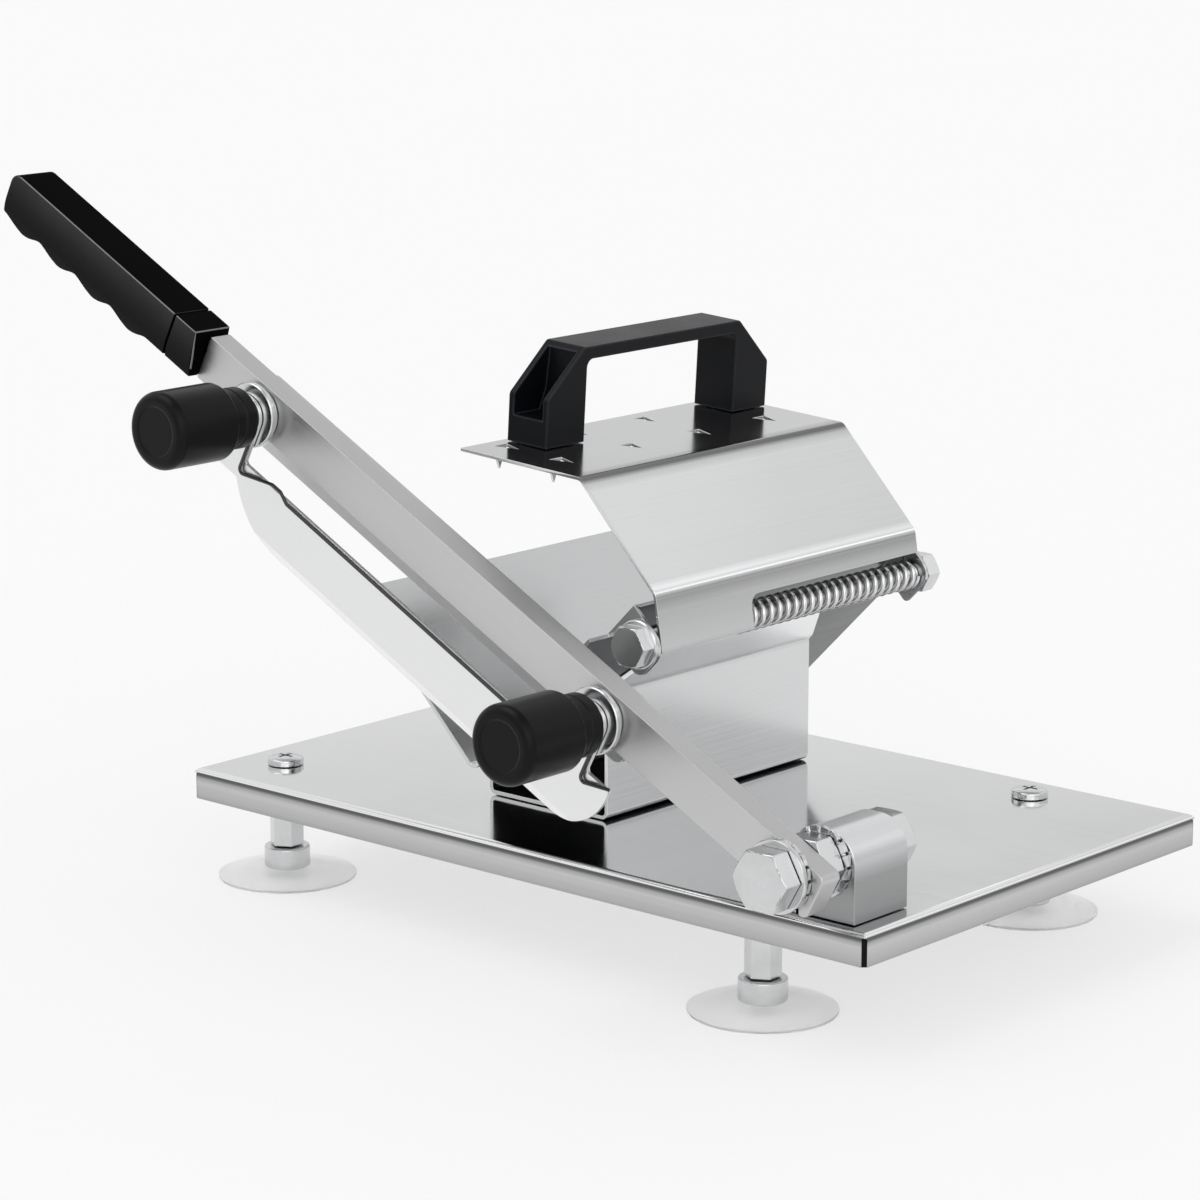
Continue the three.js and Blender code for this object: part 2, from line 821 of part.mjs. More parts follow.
function pressPlate() {
  const profile = sheetOutline([
    [pressLeftEdge, pressTop],
    [pressTopBendX, pressTop],
    [pressSideBendX, pressSideBendZ],
    [pressLipX, pressLipZ],
  ], pressSheet, pressBend);
  const body = prismY(profile, pressFront, pressRear);
  const notch = outline([
    [notchFront, pressLipZ - overrun],
    [pressRear + overrun, pressLipZ - overrun],
    [pressRear + overrun, notchTop],
    [notchFront, notchTop, notchCorner],
  ]);
  const halfBase = toothBase / 2;
  const openings = toothPlaces().map(([x, y]) => prismZ(outline([
    [x, y - halfBase],
    [x + toothLength, y],
    [x, y + halfBase],
  ]), pressTop - pressSheet - overrun, pressTop + overrun));
  const opened = cut(body, [prismX(notch, 0, pressLipX + overrun), ...openings]);
  const flaps = toothPlaces().map(([x, y]) => prismX(outline([
    [y - halfBase, pressTop - pressSheet / 2],
    [y, pressTop - toothDrop],
    [y + halfBase, pressTop - pressSheet / 2],
  ]), x - pressSheet, x));
  return join([opened, ...flaps]);
}

const handleBottom = pressTop + seatGap;
const handleTop = handleBottom + handleHeight;
const handleMiddleX = handleLeft + handleThickness / 2;
const handleScrewPlaces = {
  near: (handleFront + windowFront) / 2,
  far: (handleRear + windowRear) / 2,
};

function pressHandle() {
  const shoulder = handleBottom + handleShoulder;
  const profile = outline([
    [handleFront, handleBottom],
    [windowFront, handleBottom],
    [windowFront, handleBottom + windowTop, windowCorner],
    [windowRear, handleBottom + windowTop, windowCorner],
    [windowRear, handleBottom],
    [handleRear, handleBottom],
    [handleRear, shoulder, handleCorner],
    [handleTopRear, handleTop, handleCorner],
    [handleTopFront, handleTop, handleCorner],
    [handleFront, shoulder, handleCorner],
  ]);
  const body = new THREE.ExtrudeGeometry(profile, {
    depth: handleThickness - 2 * handleBevel,
    bevelThickness: handleBevel,
    bevelSize: handleBevel,
    bevelOffset: -handleBevel,
    bevelSegments: 1,
  });
  turnedToX(body).translate(handleLeft + handleBevel, 0, 0);
  const pocketLeft = handleLeft + pocketWall;
  const pocketRight = handleLeft + handleThickness - pocketWall;
  const ledge = handleBottom + pocketLedge;
  const pocketTop = shoulder + (handleTop - shoulder) * pocketRiseShare;
  const ends = [[handleFront, handleTopFront, -1], [handleRear, handleTopRear, 1]];
  const pockets = ends.map(([end, top, out]) => {
    const topEnd = end + (top - end) * pocketRiseShare;
    return prismX(outline([
      [end + out * overrun, ledge],
      [end - out * pocketDepth, ledge],
      [end - out * pocketDepth, shoulder],
      [topEnd - out * pocketDepth, pocketTop],
      [topEnd + out * overrun, pocketTop],
      [end + out * overrun, shoulder],
    ]), pocketLeft, pocketRight);
  });
  const holes = Object.values(handleScrewPlaces).map((y) => {
    const holeEnd = handleBottom + handleScrewHold + seatGap;
    const hole = cylinderZ(handleScrewRadius + seatGap, handleBottom - overrun, holeEnd);
    return moved(hole, handleMiddleX, y, 0);
  });
  return cut(body, [...pockets, ...holes]);
}

function panScrewFromBelow(radius, headRadius, headHeight, seat, tip) {
  return turnedZ([
    [0, seat - headHeight],
    [headRadius * screwCrownShare, seat - headHeight],
    [headRadius, seat - headHeight / 2],
    [headRadius, seat],
    [radius, seat],
    [radius, tip],
    [0, tip],
  ], smallSides);
}

function handleScrew() {
  const seat = pressTop - pressSheet - seatGap;
  return panScrewFromBelow(
    handleScrewRadius, handleScrewHeadRadius, handleScrewHeadHeight, seat, handleBottom + handleScrewHold,
  );
}

const plateHoles = Object.values(handleScrewPlaces).map((y) => {
  const hole = cylinderZ(handleScrewRadius + seatGap, pressTop - overrun, pressTop + overrun);
  return moved(hole, handleMiddleX, y, 0);
});
addPiece(press, 'press_plate', cut(pressPlate(), plateHoles), finishes.brushed);
addPiece(press, 'press_handle', pressHandle(), finishes.satinPlastic);
for (const [end, y] of Object.entries(handleScrewPlaces)) {
  addPiece(press, `handle_screw_${end}`, moved(handleScrew(), handleMiddleX, y, 0), finishes.zinc);
}
addPiece(
  press,
  'press_sleeve',
  ringY(sleeveRadius, rodRadius + runningGap, sleeveFront, sleeveRear),
  finishes.zinc,
);

// Pivot block on the base, with the bolt that is screwed into it and that the lever turns on
const blockBottom = baseTop + seatGap;
const blockTop = pivotZ + blockTopRise;

function pivotBlock() {
  const profile = outline([
    [pivotX - blockWidth / 2, blockBottom],
    [pivotX + blockWidth / 2, blockBottom],
    [pivotX + blockWidth / 2, blockTop, blockTopRadius],
    [pivotX - blockWidth / 2, blockTop, blockTopRadius],
  ]);
  const bore = cylinderY(pivotRadius + seatGap, blockFront - overrun, blockRear + overrun);
  bore.translate(pivotX, 0, pivotZ);
  const screwHoles = blockScrewPlaces.map(([x, y]) => {
    const tip = blockBottom + blockScrewHold + seatGap;
    return moved(cylinderZ(blockScrewRadius + seatGap, blockBottom - overrun, tip), x, y, 0);
  });
  return cut(prismY(profile, blockFront, blockRear), [bore, ...screwHoles]);
}
addPiece(machine, 'pivot_block', pivotBlock(), finishes.polished);
blockScrewPlaces.forEach(([x, y], i) => {
  const seat = baseUnderside - seatGap;
  const screw = panScrewFromBelow(
    blockScrewRadius, blockScrewHeadRadius, blockScrewHeadHeight, seat, blockBottom + blockScrewHold,
  );
  addPiece(machine, `block_screw_${i + 1}`, moved(screw, x, y, 0), finishes.zinc);
});

const pivotLine = new THREE.Group();
pivotLine.position.set(pivotX, 0, pivotZ);
machine.add(pivotLine);
const pivotBore = pivotRadius + seatGap;
const armFront = armRear - armThickness;
const frontLockRear = armFront - seatGap;
const frontLockFront = frontLockRear - lockWasherThickness;
const frontWasherRear = frontLockFront - seatGap;
const frontWasherFront = frontWasherRear - pivotWasherThickness;
const pivotHeadRear = frontWasherFront - seatGap;
const pivotHeadFront = pivotHeadRear - pivotHeadHeight;
const rearLockRear = blockFront - seatGap;
const rearLockFront = rearLockRear - lockWasherThickness;
const pivotNutRear = rearLockFront - seatGap;
const pivotNutFront = armRear + seatGap;

function pivotBolt() {
  const shank = cylinderY(pivotRadius, pivotHeadRear - pivotHeadHeight / 2, blockRear - pivotTipInset);
  const head = hexY(pivotAcrossFlats, pivotHeadFront, pivotHeadRear, true, false);
  return join([shank, head]);
}

function pivotNut() {
  const nut = hexY(pivotAcrossFlats, pivotNutFront, pivotNutRear, true, true);
  return cut(nut, [cylinderY(pivotBore, pivotNutFront - overrun, pivotNutRear + overrun)]);
}

// Lock washer with teeth round its rim
function lockWasher(front, rear) {
  const steps = lockWasherTeeth * stepsPerTooth;
  const points = [];
  for (let i = 0; i < steps; i += 1) {
    const angle = (i / steps) * 2 * Math.PI;
    const isValley = i % stepsPerTooth === 0;
    const radius = lockWasherRadius * (isValley ? 1 - lockToothShare : 1);
    points.push(new THREE.Vector2(radius * Math.cos(angle), radius * Math.sin(angle)));
  }
  const disc = prismY(new THREE.Shape(points), front, rear);
  return cut(disc, [cylinderY(pivotBore, front - overrun, rear + overrun)]);
}

addPiece(pivotLine, 'pivot_bolt', pivotBolt(), finishes.zinc);
const frontWasher = ringY(pivotWasherRadius, pivotBore, frontWasherFront, frontWasherRear);
addPiece(pivotLine, 'pivot_washer_front', frontWasher, finishes.zinc);
addPiece(pivotLine, 'pivot_lock_washer_front', lockWasher(frontLockFront, frontLockRear), finishes.zinc);
addPiece(pivotLine, 'pivot_nut', pivotNut(), finishes.zinc);
addPiece(pivotLine, 'pivot_lock_washer_rear', lockWasher(rearLockFront, rearLockRear), finishes.zinc);

// Lever: in its own frame X is minus the reach from the pivot and Z the height square to it
const lever = new THREE.Group();
lever.rotation.y = leverAngle;
pivotLine.add(lever);
const armBottom = armOffset - armWidth / 2;
const armTop = armOffset + armWidth / 2;
const armMiddle = armFront + armThickness / 2;
const studHole = studRadius + seatGap;
const studReaches = { lower: lowerStudReach, upper: upperStudReach };

function atReach(reach, height, radius = 0) {
  return [-reach, height, radius];
}

function studCutters(front, rear, radius) {
  return Object.values(studReaches).map((reach) => {
    return moved(cylinderY(radius, front, rear, smallSides), -reach, 0, studHeight);
  });
}

function leverArm() {
  const bar = prismY(outline([
    atReach(-armTail, armBottom, armCorner),
    atReach(armEnd, armBottom),
    atReach(armEnd, armTop),
    atReach(-armTail, armTop, armCorner),
  ]), armFront, armRear);
  const tang = box(
    -tangEnd, -armEnd + armWidth,
    armMiddle - tangThickness / 2, armMiddle + tangThickness / 2,
    armOffset - tangWidth / 2, armOffset + tangWidth / 2,
  );
  return cut(join([bar, tang]), [
    cylinderY(pivotRadius + runningGap, armFront - overrun, armRear + overrun),
    ...studCutters(armFront - overrun, armRear + overrun, studHole),
  ]);
}

const backingFront = armRear + seatGap;
const backingRear = backingFront + backingThickness;

function armBacking() {
  const strip = prismY(outline([
    atReach(backingStart, backingBottom, backingCorner),
    atReach(backingEnd, backingBottom, backingCorner),
    atReach(backingEnd, backingTop, backingCorner),
    atReach(backingStart, backingTop, backingCorner),
  ]), backingFront, backingRear);
  return cut(strip, studCutters(backingFront - overrun, backingRear + overrun, studHole));
}

// Grip: a straight back and a belly with finger bumps, with a slot for the tang
function leverGrip() {
  const belly = [];
  const bumpSpan = gripBumps * gripBumpPitch;
  const bellyStart = firstBump - gripBumpPitch / 2;
  for (let i = 0; i < gripBumps * bumpSteps; i += 1) {
    const share = i / (gripBumps * bumpSteps);
    const wave = (1 - Math.cos(share * gripBumps * 2 * Math.PI)) / 2;
    belly.push(atReach(bellyStart + share * bumpSpan, gripBottom - gripBumpHeight * wave));
  }
  const profile = outline([
    atReach(gripStart, gripBottom),
    ...belly,
    atReach(gripEnd, gripBottom),
    atReach(gripEnd, gripTop, gripTipCorner),
    atReach(gripStart + gripMouthLean, gripTop),
  ]);
  const body = new THREE.ExtrudeGeometry(profile, {
    depth: gripThickness - 2 * gripBevel,
    bevelThickness: gripBevel,
    bevelSize: gripBevel,
    bevelOffset: -gripBevel,
    bevelSegments: 2,
  });
  body.rotateX(Math.PI / 2).translate(0, gripFront + gripThickness - gripBevel, 0);
  const slotHalfThickness = tangThickness / 2 + seatGap;
  const slotHalfWidth = tangWidth / 2 + seatGap;
  const slot = box(
    -tangEnd - seatGap, -gripStart + overrun,
    armMiddle - slotHalfThickness, armMiddle + slotHalfThickness,
    armOffset - slotHalfWidth, armOffset + slotHalfWidth,
  );
  const socket = box(
    -armEnd - seatGap, -gripStart + overrun,
    armFront - seatGap, armRear + seatGap,
    armBottom - seatGap, armTop + seatGap,
  );
  return cut(body, [slot, socket]);
}

addPiece(lever, 'lever_arm', leverArm(), finishes.brushed);
addPiece(lever, 'arm_backing', armBacking(), finishes.brushed);
addPiece(lever, 'lever_grip', leverGrip(), finishes.rubber);

// Spacer between the bar and the blade: a boss with a wider flange at its front
const spacerRear = armFront - seatGap;
const spacerFront = spacerRear - spacerThickness;

function bladeSpacer() {
  const flangeRear = spacerFront + spacerFlangeThickness;
  return turnedY([
    [studHole, spacerFront],
    [spacerFlangeRadius, spacerFront],
    [spacerFlangeRadius, flangeRear],
    [spacerBossRadius, flangeRear],
    [spacerBossRadius, spacerRear],
    [studHole, spacerRear],
    [studHole, spacerFront],
  ]);
}

// Blade with an ear at each end, its bevel on the front
const bladeRear = spacerFront - seatGap;
const bladeFront = bladeRear - bladeThickness;

function blade() {
  const earTop = studHeight + earRadius;
  const innerLower = lowerStudReach + earRadius;
  const innerUpper = upperStudReach - earRadius;
  const plate = prismY(outline([
    atReach(bladeTipReach, bladeTop, earFillet),
    atReach(bladeTipReach, bladeEdge, bladeTipRadius),
    atReach(bladeHeelCornerReach, bladeEdge, bladeHeelRadius),
    atReach(bladeHeelReach, earFoot),
    atReach(upperStudReach + earReachOut, earFoot, earFillet),
    atReach(upperStudReach + earReachOut, earTop, earRadius),
    atReach(innerUpper, earTop, earRadius),
    atReach(innerUpper, bladeTop, earFillet),
    atReach(innerLower, bladeTop, earFillet),
    atReach(innerLower, earTop, lowerEarCorner),
    atReach(lowerStudReach - earRadius, earTop, lowerEarCorner),
    atReach(lowerStudReach - earRadius, bladeTop, earFillet),
  ]), bladeFront, bladeRear);
  const bevel = prismX(outline([
    [bladeRear - bladeEdgeLand, bladeEdge],
    [bladeFront, bladeEdge + bladeBevelWidth],
    [bladeFront - overrun, bladeEdge + bladeBevelWidth],
    [bladeFront - overrun, bladeEdge - overrun],
    [bladeRear - bladeEdgeLand, bladeEdge - overrun],
  ]), -bladeHeelReach, -bladeTipReach);
  return cut(plate, [bevel, ...studCutters(bladeFront - overrun, bladeRear + overrun, studHole)]);
}

const wireMiddle = bladeFront - seatGap - wireRadius;

// Wire: a loop round the upper stud, a dip and a knee, a straight run along the blade's top, a
// loop over the lower stud and a hooked end
function wirePath() {
  const upperSide = upperStudReach - wireLoopRadius;
  const lowerSide = lowerStudReach - wireLoopRadius;
  const lowerFar = lowerStudReach + wireLoopRadius;
  const kneeReach = upperSide - wireKneeLength;
  const points = [];
  for (let i = 0; i <= arcSteps * 2; i += 1) {
    const angle = -wireLoopOpening + (Math.PI + wireLoopOpening) * (i / (arcSteps * 2));
    points.push([
      upperStudReach + wireLoopRadius * Math.cos(angle),
      studHeight + wireLoopRadius * Math.sin(angle),
    ]);
  }
  const bends = [
    [upperSide, studHeight],
    [upperSide, wireDip],
    [kneeReach, wireKneeHeight],
    [kneeReach - wireKneeFlat, wireKneeHeight],
    [kneeReach - wireKneeFlat - wireKneeSlope, wireRun],
    [lowerFar, wireRun],
    [lowerFar, studHeight],
  ];
  for (let i = 1; i < bends.length - 1; i += 1) {
    for (const point of cornerArc(bends[i - 1], bends[i], bends[i + 1], wireBend)) {
      points.push([point.x, point.y]);
    }
  }
  for (let i = 0; i <= arcSteps * 2; i += 1) {
    const angle = Math.PI * (i / (arcSteps * 2));
    points.push([
      lowerStudReach + wireLoopRadius * Math.cos(angle),
      studHeight + wireLoopRadius * Math.sin(angle),
    ]);
  }
  const hook = [
    [lowerSide, studHeight],
    [lowerSide, wireDip],
    [lowerSide - wireHookLength, wireHookHeight],
  ];
  for (const point of cornerArc(hook[0], hook[1], hook[2], wireBend)) points.push([point.x, point.y]);
  points.push(hook[2]);
  const path = new THREE.CurvePath();
  const places = points.map(([reach, height]) => new THREE.Vector3(-reach, wireMiddle, height));
  for (let i = 1; i < places.length; i += 1) path.add(new THREE.LineCurve3(places[i - 1], places[i]));
  return path;
}

function bladeWire() {
  const section = [];
  for (let side = 0; side < wireSides; side += 1) {
    const roll = (side / wireSides) * 2 * Math.PI;
    section.push(new THREE.Vector2(wireRadius * Math.cos(roll), wireRadius * Math.sin(roll)));
  }
  return new THREE.ExtrudeGeometry(new THREE.Shape(section), {
    steps: wireSteps, bevelEnabled: false, extrudePath: wirePath(),
  });
}

const bushFlangeRear = wireMiddle - wireRadius - seatGap;
const bushFlangeFront = bushFlangeRear - bushFlangeThickness;
const bushFront = bushFlangeFront - bushLength;
const knobRear = bushFlangeFront - seatGap;
const studRear = backingRear + seatGap + studHeadHeight;
const studFront = bushFront + studEndInset;

function stud() {
  const headFront = backingRear + seatGap;
  return turnedY([
    [0, studFront],
    [studRadius, studFront],
    [studRadius, headFront],
    [studHeadRadius, headFront],
    [studHeadRadius, studRear],
    [0, studRear],
  ], smallSides);
}

function knobBush() {
  const bore = studRadius + runningGap;
  return turnedY([
    [bore, bushFront],
    [bushRadius, bushFront],
    [bushRadius, bushFlangeFront],
    [bushFlangeRadius, bushFlangeFront],
    [bushFlangeRadius, bushFlangeRear],
    [bore, bushFlangeRear],
    [bore, bushFront],
  ]);
}

function knob() {
  const boreRadius = bushRadius + seatGap;
  const boreEnd = bushFront - seatGap;
  const neckEnd = knobRear - knobNeckLength;
  const rim = [];
  for (let i = 0; i <= arcSteps; i += 1) {
    const angle = (i / arcSteps) * (Math.PI / 2);
    rim.push([
      knobRadius - knobRound + knobRound * Math.sin(angle),
      knobFront + knobRound - knobRound * Math.cos(angle),
    ]);
  }
  return turnedY([
    [0, knobFront + knobFaceDepth],
    [knobFaceRadius, knobFront + knobFaceDepth],
    [knobFaceRadius, knobFront],
    ...rim,
    [knobRadius, neckEnd - knobSlope],
    [knobNeckRadius, neckEnd],
    [knobNeckRadius, knobRear],
    [boreRadius, knobRear],
    [boreRadius, boreEnd],
    [0, boreEnd],
  ]);
}

addPiece(lever, 'blade', blade(), finishes.bladeSteel);
addPiece(lever, 'blade_wire', bladeWire(), finishes.darkSteel);
for (const [end, reach] of Object.entries(studReaches)) {
  const place = (geometry) => moved(geometry, -reach, 0, studHeight);
  addPiece(lever, `blade_stud_${end}`, place(stud()), finishes.zinc);
  addPiece(lever, `blade_spacer_${end}`, place(bladeSpacer()), finishes.zinc);
  addPiece(lever, `knob_bush_${end}`, place(knobBush()), finishes.zinc);
  addPiece(lever, `blade_knob_${end}`, place(knob()), finishes.knobPlastic);
}

// The model's box is centred over the origin and stands on it
const group = new THREE.Group();
group.add(machine);
group.updateMatrixWorld(true);
const bounds = new THREE.Box3().setFromObject(machine, true);
const middle = bounds.getCenter(new THREE.Vector3());
machine.position.set(-middle.x, -middle.y, -bounds.min.z);

export default group;
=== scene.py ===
import math

import bmesh
import bpy
from mathutils import Matrix, Vector


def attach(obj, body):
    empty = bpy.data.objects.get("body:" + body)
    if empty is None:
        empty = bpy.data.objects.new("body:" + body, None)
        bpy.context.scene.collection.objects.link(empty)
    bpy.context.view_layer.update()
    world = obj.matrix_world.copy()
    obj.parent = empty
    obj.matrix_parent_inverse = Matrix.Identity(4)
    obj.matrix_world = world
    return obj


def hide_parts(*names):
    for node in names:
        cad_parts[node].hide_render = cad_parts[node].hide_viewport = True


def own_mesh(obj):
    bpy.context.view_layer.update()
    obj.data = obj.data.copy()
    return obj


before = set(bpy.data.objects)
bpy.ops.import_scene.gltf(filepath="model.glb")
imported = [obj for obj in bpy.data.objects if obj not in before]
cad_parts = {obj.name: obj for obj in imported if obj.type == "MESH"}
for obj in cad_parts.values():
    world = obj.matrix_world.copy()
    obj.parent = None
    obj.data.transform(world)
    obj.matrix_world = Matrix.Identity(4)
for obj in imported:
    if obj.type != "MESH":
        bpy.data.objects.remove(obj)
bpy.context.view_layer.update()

MM = 0.001
SEAT_GAP = 0.3
RUNNING_GAP = 0.1
OVERRUN = 3
ROUND_SIDES = 96
SMALL_SIDES = 64
ARC_STEPS = 10
STRAIGHT = 1e-4
SAME_POINT = 1e-5
WELD = 1e-4
CHAMFER_SLOPE = 0.5

# Frames of the groups
FRAME_SHIFT = (35.711, 29.35, 0)
ROD_X, ROD_Z = 46, 115.5
PIVOT_X, PIVOT_Z = 132.5, 60.8
LEVER_ANGLE = math.radians(27.6)
PRESS_TILT = math.radians(3.6)
BASE = Matrix.Scale(MM, 4) @ Matrix.Translation(FRAME_SHIFT)
ROD = BASE @ Matrix.Translation((ROD_X, 0, ROD_Z))
PRESS = ROD @ Matrix.Rotation(PRESS_TILT, 4, "Y")
PIVOT = BASE @ Matrix.Translation((PIVOT_X, 0, PIVOT_Z))
LEVER = PIVOT @ Matrix.Rotation(LEVER_ANGLE, 4, "Y")


# Outlines
def corner_arc(before, corner, after, radius, steps=ARC_STEPS):
    """Points that round a corner with a radius."""
    into = (Vector(corner[:2]) - Vector(before[:2])).normalized()
    out = (Vector(after[:2]) - Vector(corner[:2])).normalized()
    turn = math.atan2(into.x * out.y - into.y * out.x, into.dot(out))
    if not radius or abs(turn) < STRAIGHT:
        return [(corner[0], corner[1])]
    start = Vector(corner[:2]) - into * radius * math.tan(abs(turn) / 2)
    side = math.copysign(radius, turn)
    centre = start + Vector((-into.y, into.x)) * side
    arm = start - centre
    points = []
    for i in range(steps + 1):
        a = turn * i / steps
        points.append((
            centre.x + arm.x * math.cos(a) - arm.y * math.sin(a),
            centre.y + arm.x * math.sin(a) + arm.y * math.cos(a),
        ))
    return points


def outline(corners, steps=ARC_STEPS):
    """A closed outline from corners (x, y) or (x, y, radius)."""
    points = []
    count = len(corners)
    for i, corner in enumerate(corners):
        radius = corner[2] if len(corner) > 2 else 0
        points += corner_arc(corners[i - 1], corner, corners[(i + 1) % count], radius, steps)
    return points


def sheet_outline(line, thickness, bend_radii):
    """The outline of a bent sheet: the line runs along one face and the sheet lies to its right."""
    normals = []
    for a, b in zip(line, line[1:]):
        along = (Vector(b) - Vector(a)).normalized()
        normals.append(Vector((along.y, -along.x)))
    face, back = [], []
    for i, point in enumerate(line):
        before = normals[max(i - 1, 0)]
        after = normals[min(i, len(normals) - 1)]
        offset = (before + after) * (thickness / (1 + before.dot(after)))
        face_radius = back_radius = 0
        if 0 < i < len(line) - 1:
            turns_right = before.x * after.y - before.y * after.x < 0
            radii = bend_radii[i - 1], bend_radii[i - 1] + thickness
            back_radius, face_radius = radii if turns_right else radii[::-1]
        face.append((point[0], point[1], face_radius))
        back.append((point[0] + offset.x, point[1] + offset.y, back_radius))
    return outline(face + back[::-1])


def hexagon(across, turn=0):
    corner = across / math.sqrt(3)
    angles = [math.radians(60 * i + turn) for i in range(6)]
    return [(corner * math.sin(a), corner * math.cos(a)) for a in angles]


# Solids
def prism(points, low, high, axis):
    """An outline drawn out along an axis."""
    def place(point, along):
        a, b = point
        return {"X": (along, a, b), "Y": (a, along, b), "Z": (a, b, along)}[axis]
    bm = bmesh.new()
    lower = [bm.verts.new(place(p, low)) for p in points]
    upper = [bm.verts.new(place(p, high)) for p in points]
    bm.faces.new(lower)
    bm.faces.new(upper[::-1])
    count = len(points)
    for i in range(count):
        j = (i + 1) % count
        bm.faces.new((lower[i], upper[i], upper[j], lower[j]))
    bmesh.ops.remove_doubles(bm, verts=bm.verts, dist=SAME_POINT)
    bmesh.ops.recalc_face_normals(bm, faces=bm.faces)
    return bm


def box(x, y, z):
    """A block between pairs of bounds."""
    return prism([(x[0], z[0]), (x[1], z[0]), (x[1], z[1]), (x[0], z[1])], y[0], y[1], "Y")


def turned(profile, axis="Y", sides=ROUND_SIDES):
    """A profile of (radius, place) points turned round an axis. A closed profile makes a ring."""
    bm = bmesh.new()
    is_ring = profile[0] == profile[-1]
    points = profile[:-1] if is_ring else profile
    rings = []
    for radius, place in points:
        if radius == 0:
            spot = (0, place, 0) if axis == "Y" else (0, 0, place)
            rings.append([bm.verts.new(spot)] * sides)
            continue
        ring = []
        for i in range(sides):
            a = 2 * math.pi * i / sides
            u, v = radius * math.cos(a), radius * math.sin(a)
            ring.append(bm.verts.new((u, place, v) if axis == "Y" else (u, v, place)))
        rings.append(ring)
    pairs = list(zip(rings, rings[1:])) + ([(rings[-1], rings[0])] if is_ring else [])
    for a, b in pairs:
        for i in range(sides):
            j = (i + 1) % sides
            face = list(dict.fromkeys((a[i], a[j], b[j], b[i])))
            if len(face) > 2:
                bm.faces.new(face)
    bmesh.ops.recalc_face_normals(bm, faces=bm.faces)
    return bm


def ring(outer, bore, front, rear):
    return turned([(bore, front), (outer, front), (outer, rear), (bore, rear), (bore, front)])


def rod(radius, front, rear, axis="Y", sides=SMALL_SIDES):
    return turned([(0, front), (radius, front), (radius, rear), (0, rear)], axis, sides)


def tube(points, radius, sides=14):
    """A wire of round section along a line of points."""
    bm = bmesh.new()
    points = [Vector(p) for p in points]
    last = len(points) - 1
    tangents = [(points[min(i + 1, last)] - points[max(i - 1, 0)]).normalized() for i in range(last + 1)]
    side = tangents[0].orthogonal().normalized()
    rings = []
    for point, tangent in zip(points, tangents):
        side = (side - tangent * side.dot(tangent)).normalized()
        up = tangent.cross(side)
        rings.append([
            bm.verts.new(point + (side * math.cos(a) + up * math.sin(a)) * radius)
            for a in (2 * math.pi * k / sides for k in range(sides))
        ])
    for a, b in zip(rings, rings[1:]):
        for k in range(sides):
            m = (k + 1) % sides
            bm.faces.new((a[k], a[m], b[m], b[k]))
    bm.faces.new(rings[0][::-1])
    bm.faces.new(rings[-1])
    bmesh.ops.recalc_face_normals(bm, faces=bm.faces)
    return bm


def combine(bm, other, operation):
    """Boolean of two solids. Both are used up."""
    objects = []
    for work in (bm, other):
        mesh = bpy.data.meshes.new("work")
        work.to_mesh(mesh)
        work.free()
        obj = bpy.data.objects.new("work", mesh)
        bpy.context.scene.collection.objects.link(obj)
        objects.append(obj)
    modifier = objects[0].modifiers.new("work", "BOOLEAN")
    modifier.operation = operation
    modifier.solver = "EXACT"
    modifier.object = objects[1]
    graph = bpy.context.evaluated_depsgraph_get()
    mesh = bpy.data.meshes.new_from_object(objects[0].evaluated_get(graph))
    result = bmesh.new()
    result.from_mesh(mesh)
    bpy.data.meshes.remove(mesh)
    for obj in objects:
        work = obj.data
        bpy.data.objects.remove(obj)
        bpy.data.meshes.remove(work)
    bmesh.ops.remove_doubles(result, verts=result.verts, dist=WELD)
    return result


def cut(bm, cutters):
    for cutter in cutters:
        bm = combine(bm, cutter, "DIFFERENCE")
    return bm


def join(solids):
    bm = solids[0]
    for other in solids[1:]:
        bm = combine(bm, other, "UNION")
    return bm


def moved(bm, x=0, y=0, z=0):
    bmesh.ops.translate(bm, vec=(x, y, z), verts=bm.verts)
    return bm


def hex_bar(across, front, rear, chamfer_rear=True):
    """A hexagon along Y with its corners taken off by a cone."""
    flat, reach = across / 2, across / math.sqrt(3) + OVERRUN
    drop = (reach - flat) * CHAMFER_SLOPE
    start, end = front - OVERRUN, rear + OVERRUN
    tail = [(reach, rear - drop), (flat, rear), (flat, end)] if chamfer_rear else [(reach, end)]
    keep = turned([(0, start), (flat, start), (flat, front), (reach, front + drop)] + tail + [(0, end)])
    return combine(prism(hexagon(across, 90), front, rear, "Y"), keep, "INTERSECT")


# Shader nodes
def plug(tree, node, inputs):
    """Fills a node's inputs: a socket is linked and any other value is set."""
    for key, value in inputs.items():
        if isinstance(value, bpy.types.NodeSocket):
            tree.links.new(value, node.inputs[key])
        else:
            node.inputs[key].default_value = value


def add(tree, kind, inputs=None, **settings):
    node = tree.nodes.new(kind)
    for key, value in settings.items():
        setattr(node, key, value)
    plug(tree, node, inputs or {})
    return node


def maths(tree, operation, *values, **settings):
    return add(tree, "ShaderNodeMath", dict(enumerate(values)), operation=operation, **settings).outputs[0]


def mixed(tree, factor, first, second, blend_type="MIX"):
    inputs = {0: factor, 6: first, 7: second}
    return add(tree, "ShaderNodeMix", inputs, data_type="RGBA", blend_type=blend_type).outputs[2]


def noise(tree, place, scale, detail, roughness=0.5):
    inputs = {"Vector": place, "Scale": scale, "Detail": detail, "Roughness": roughness}
    return add(tree, "ShaderNodeTexNoise", inputs).outputs["Fac"]


def span(tree, value, low, high, to_low=0, to_high=1):
    inputs = {"Value": value, "From Min": low, "From Max": high, "To Min": to_low, "To Max": to_high}
    return add(tree, "ShaderNodeMapRange", inputs).outputs["Result"]


def grey(value):
    return (value, value, value, 1)


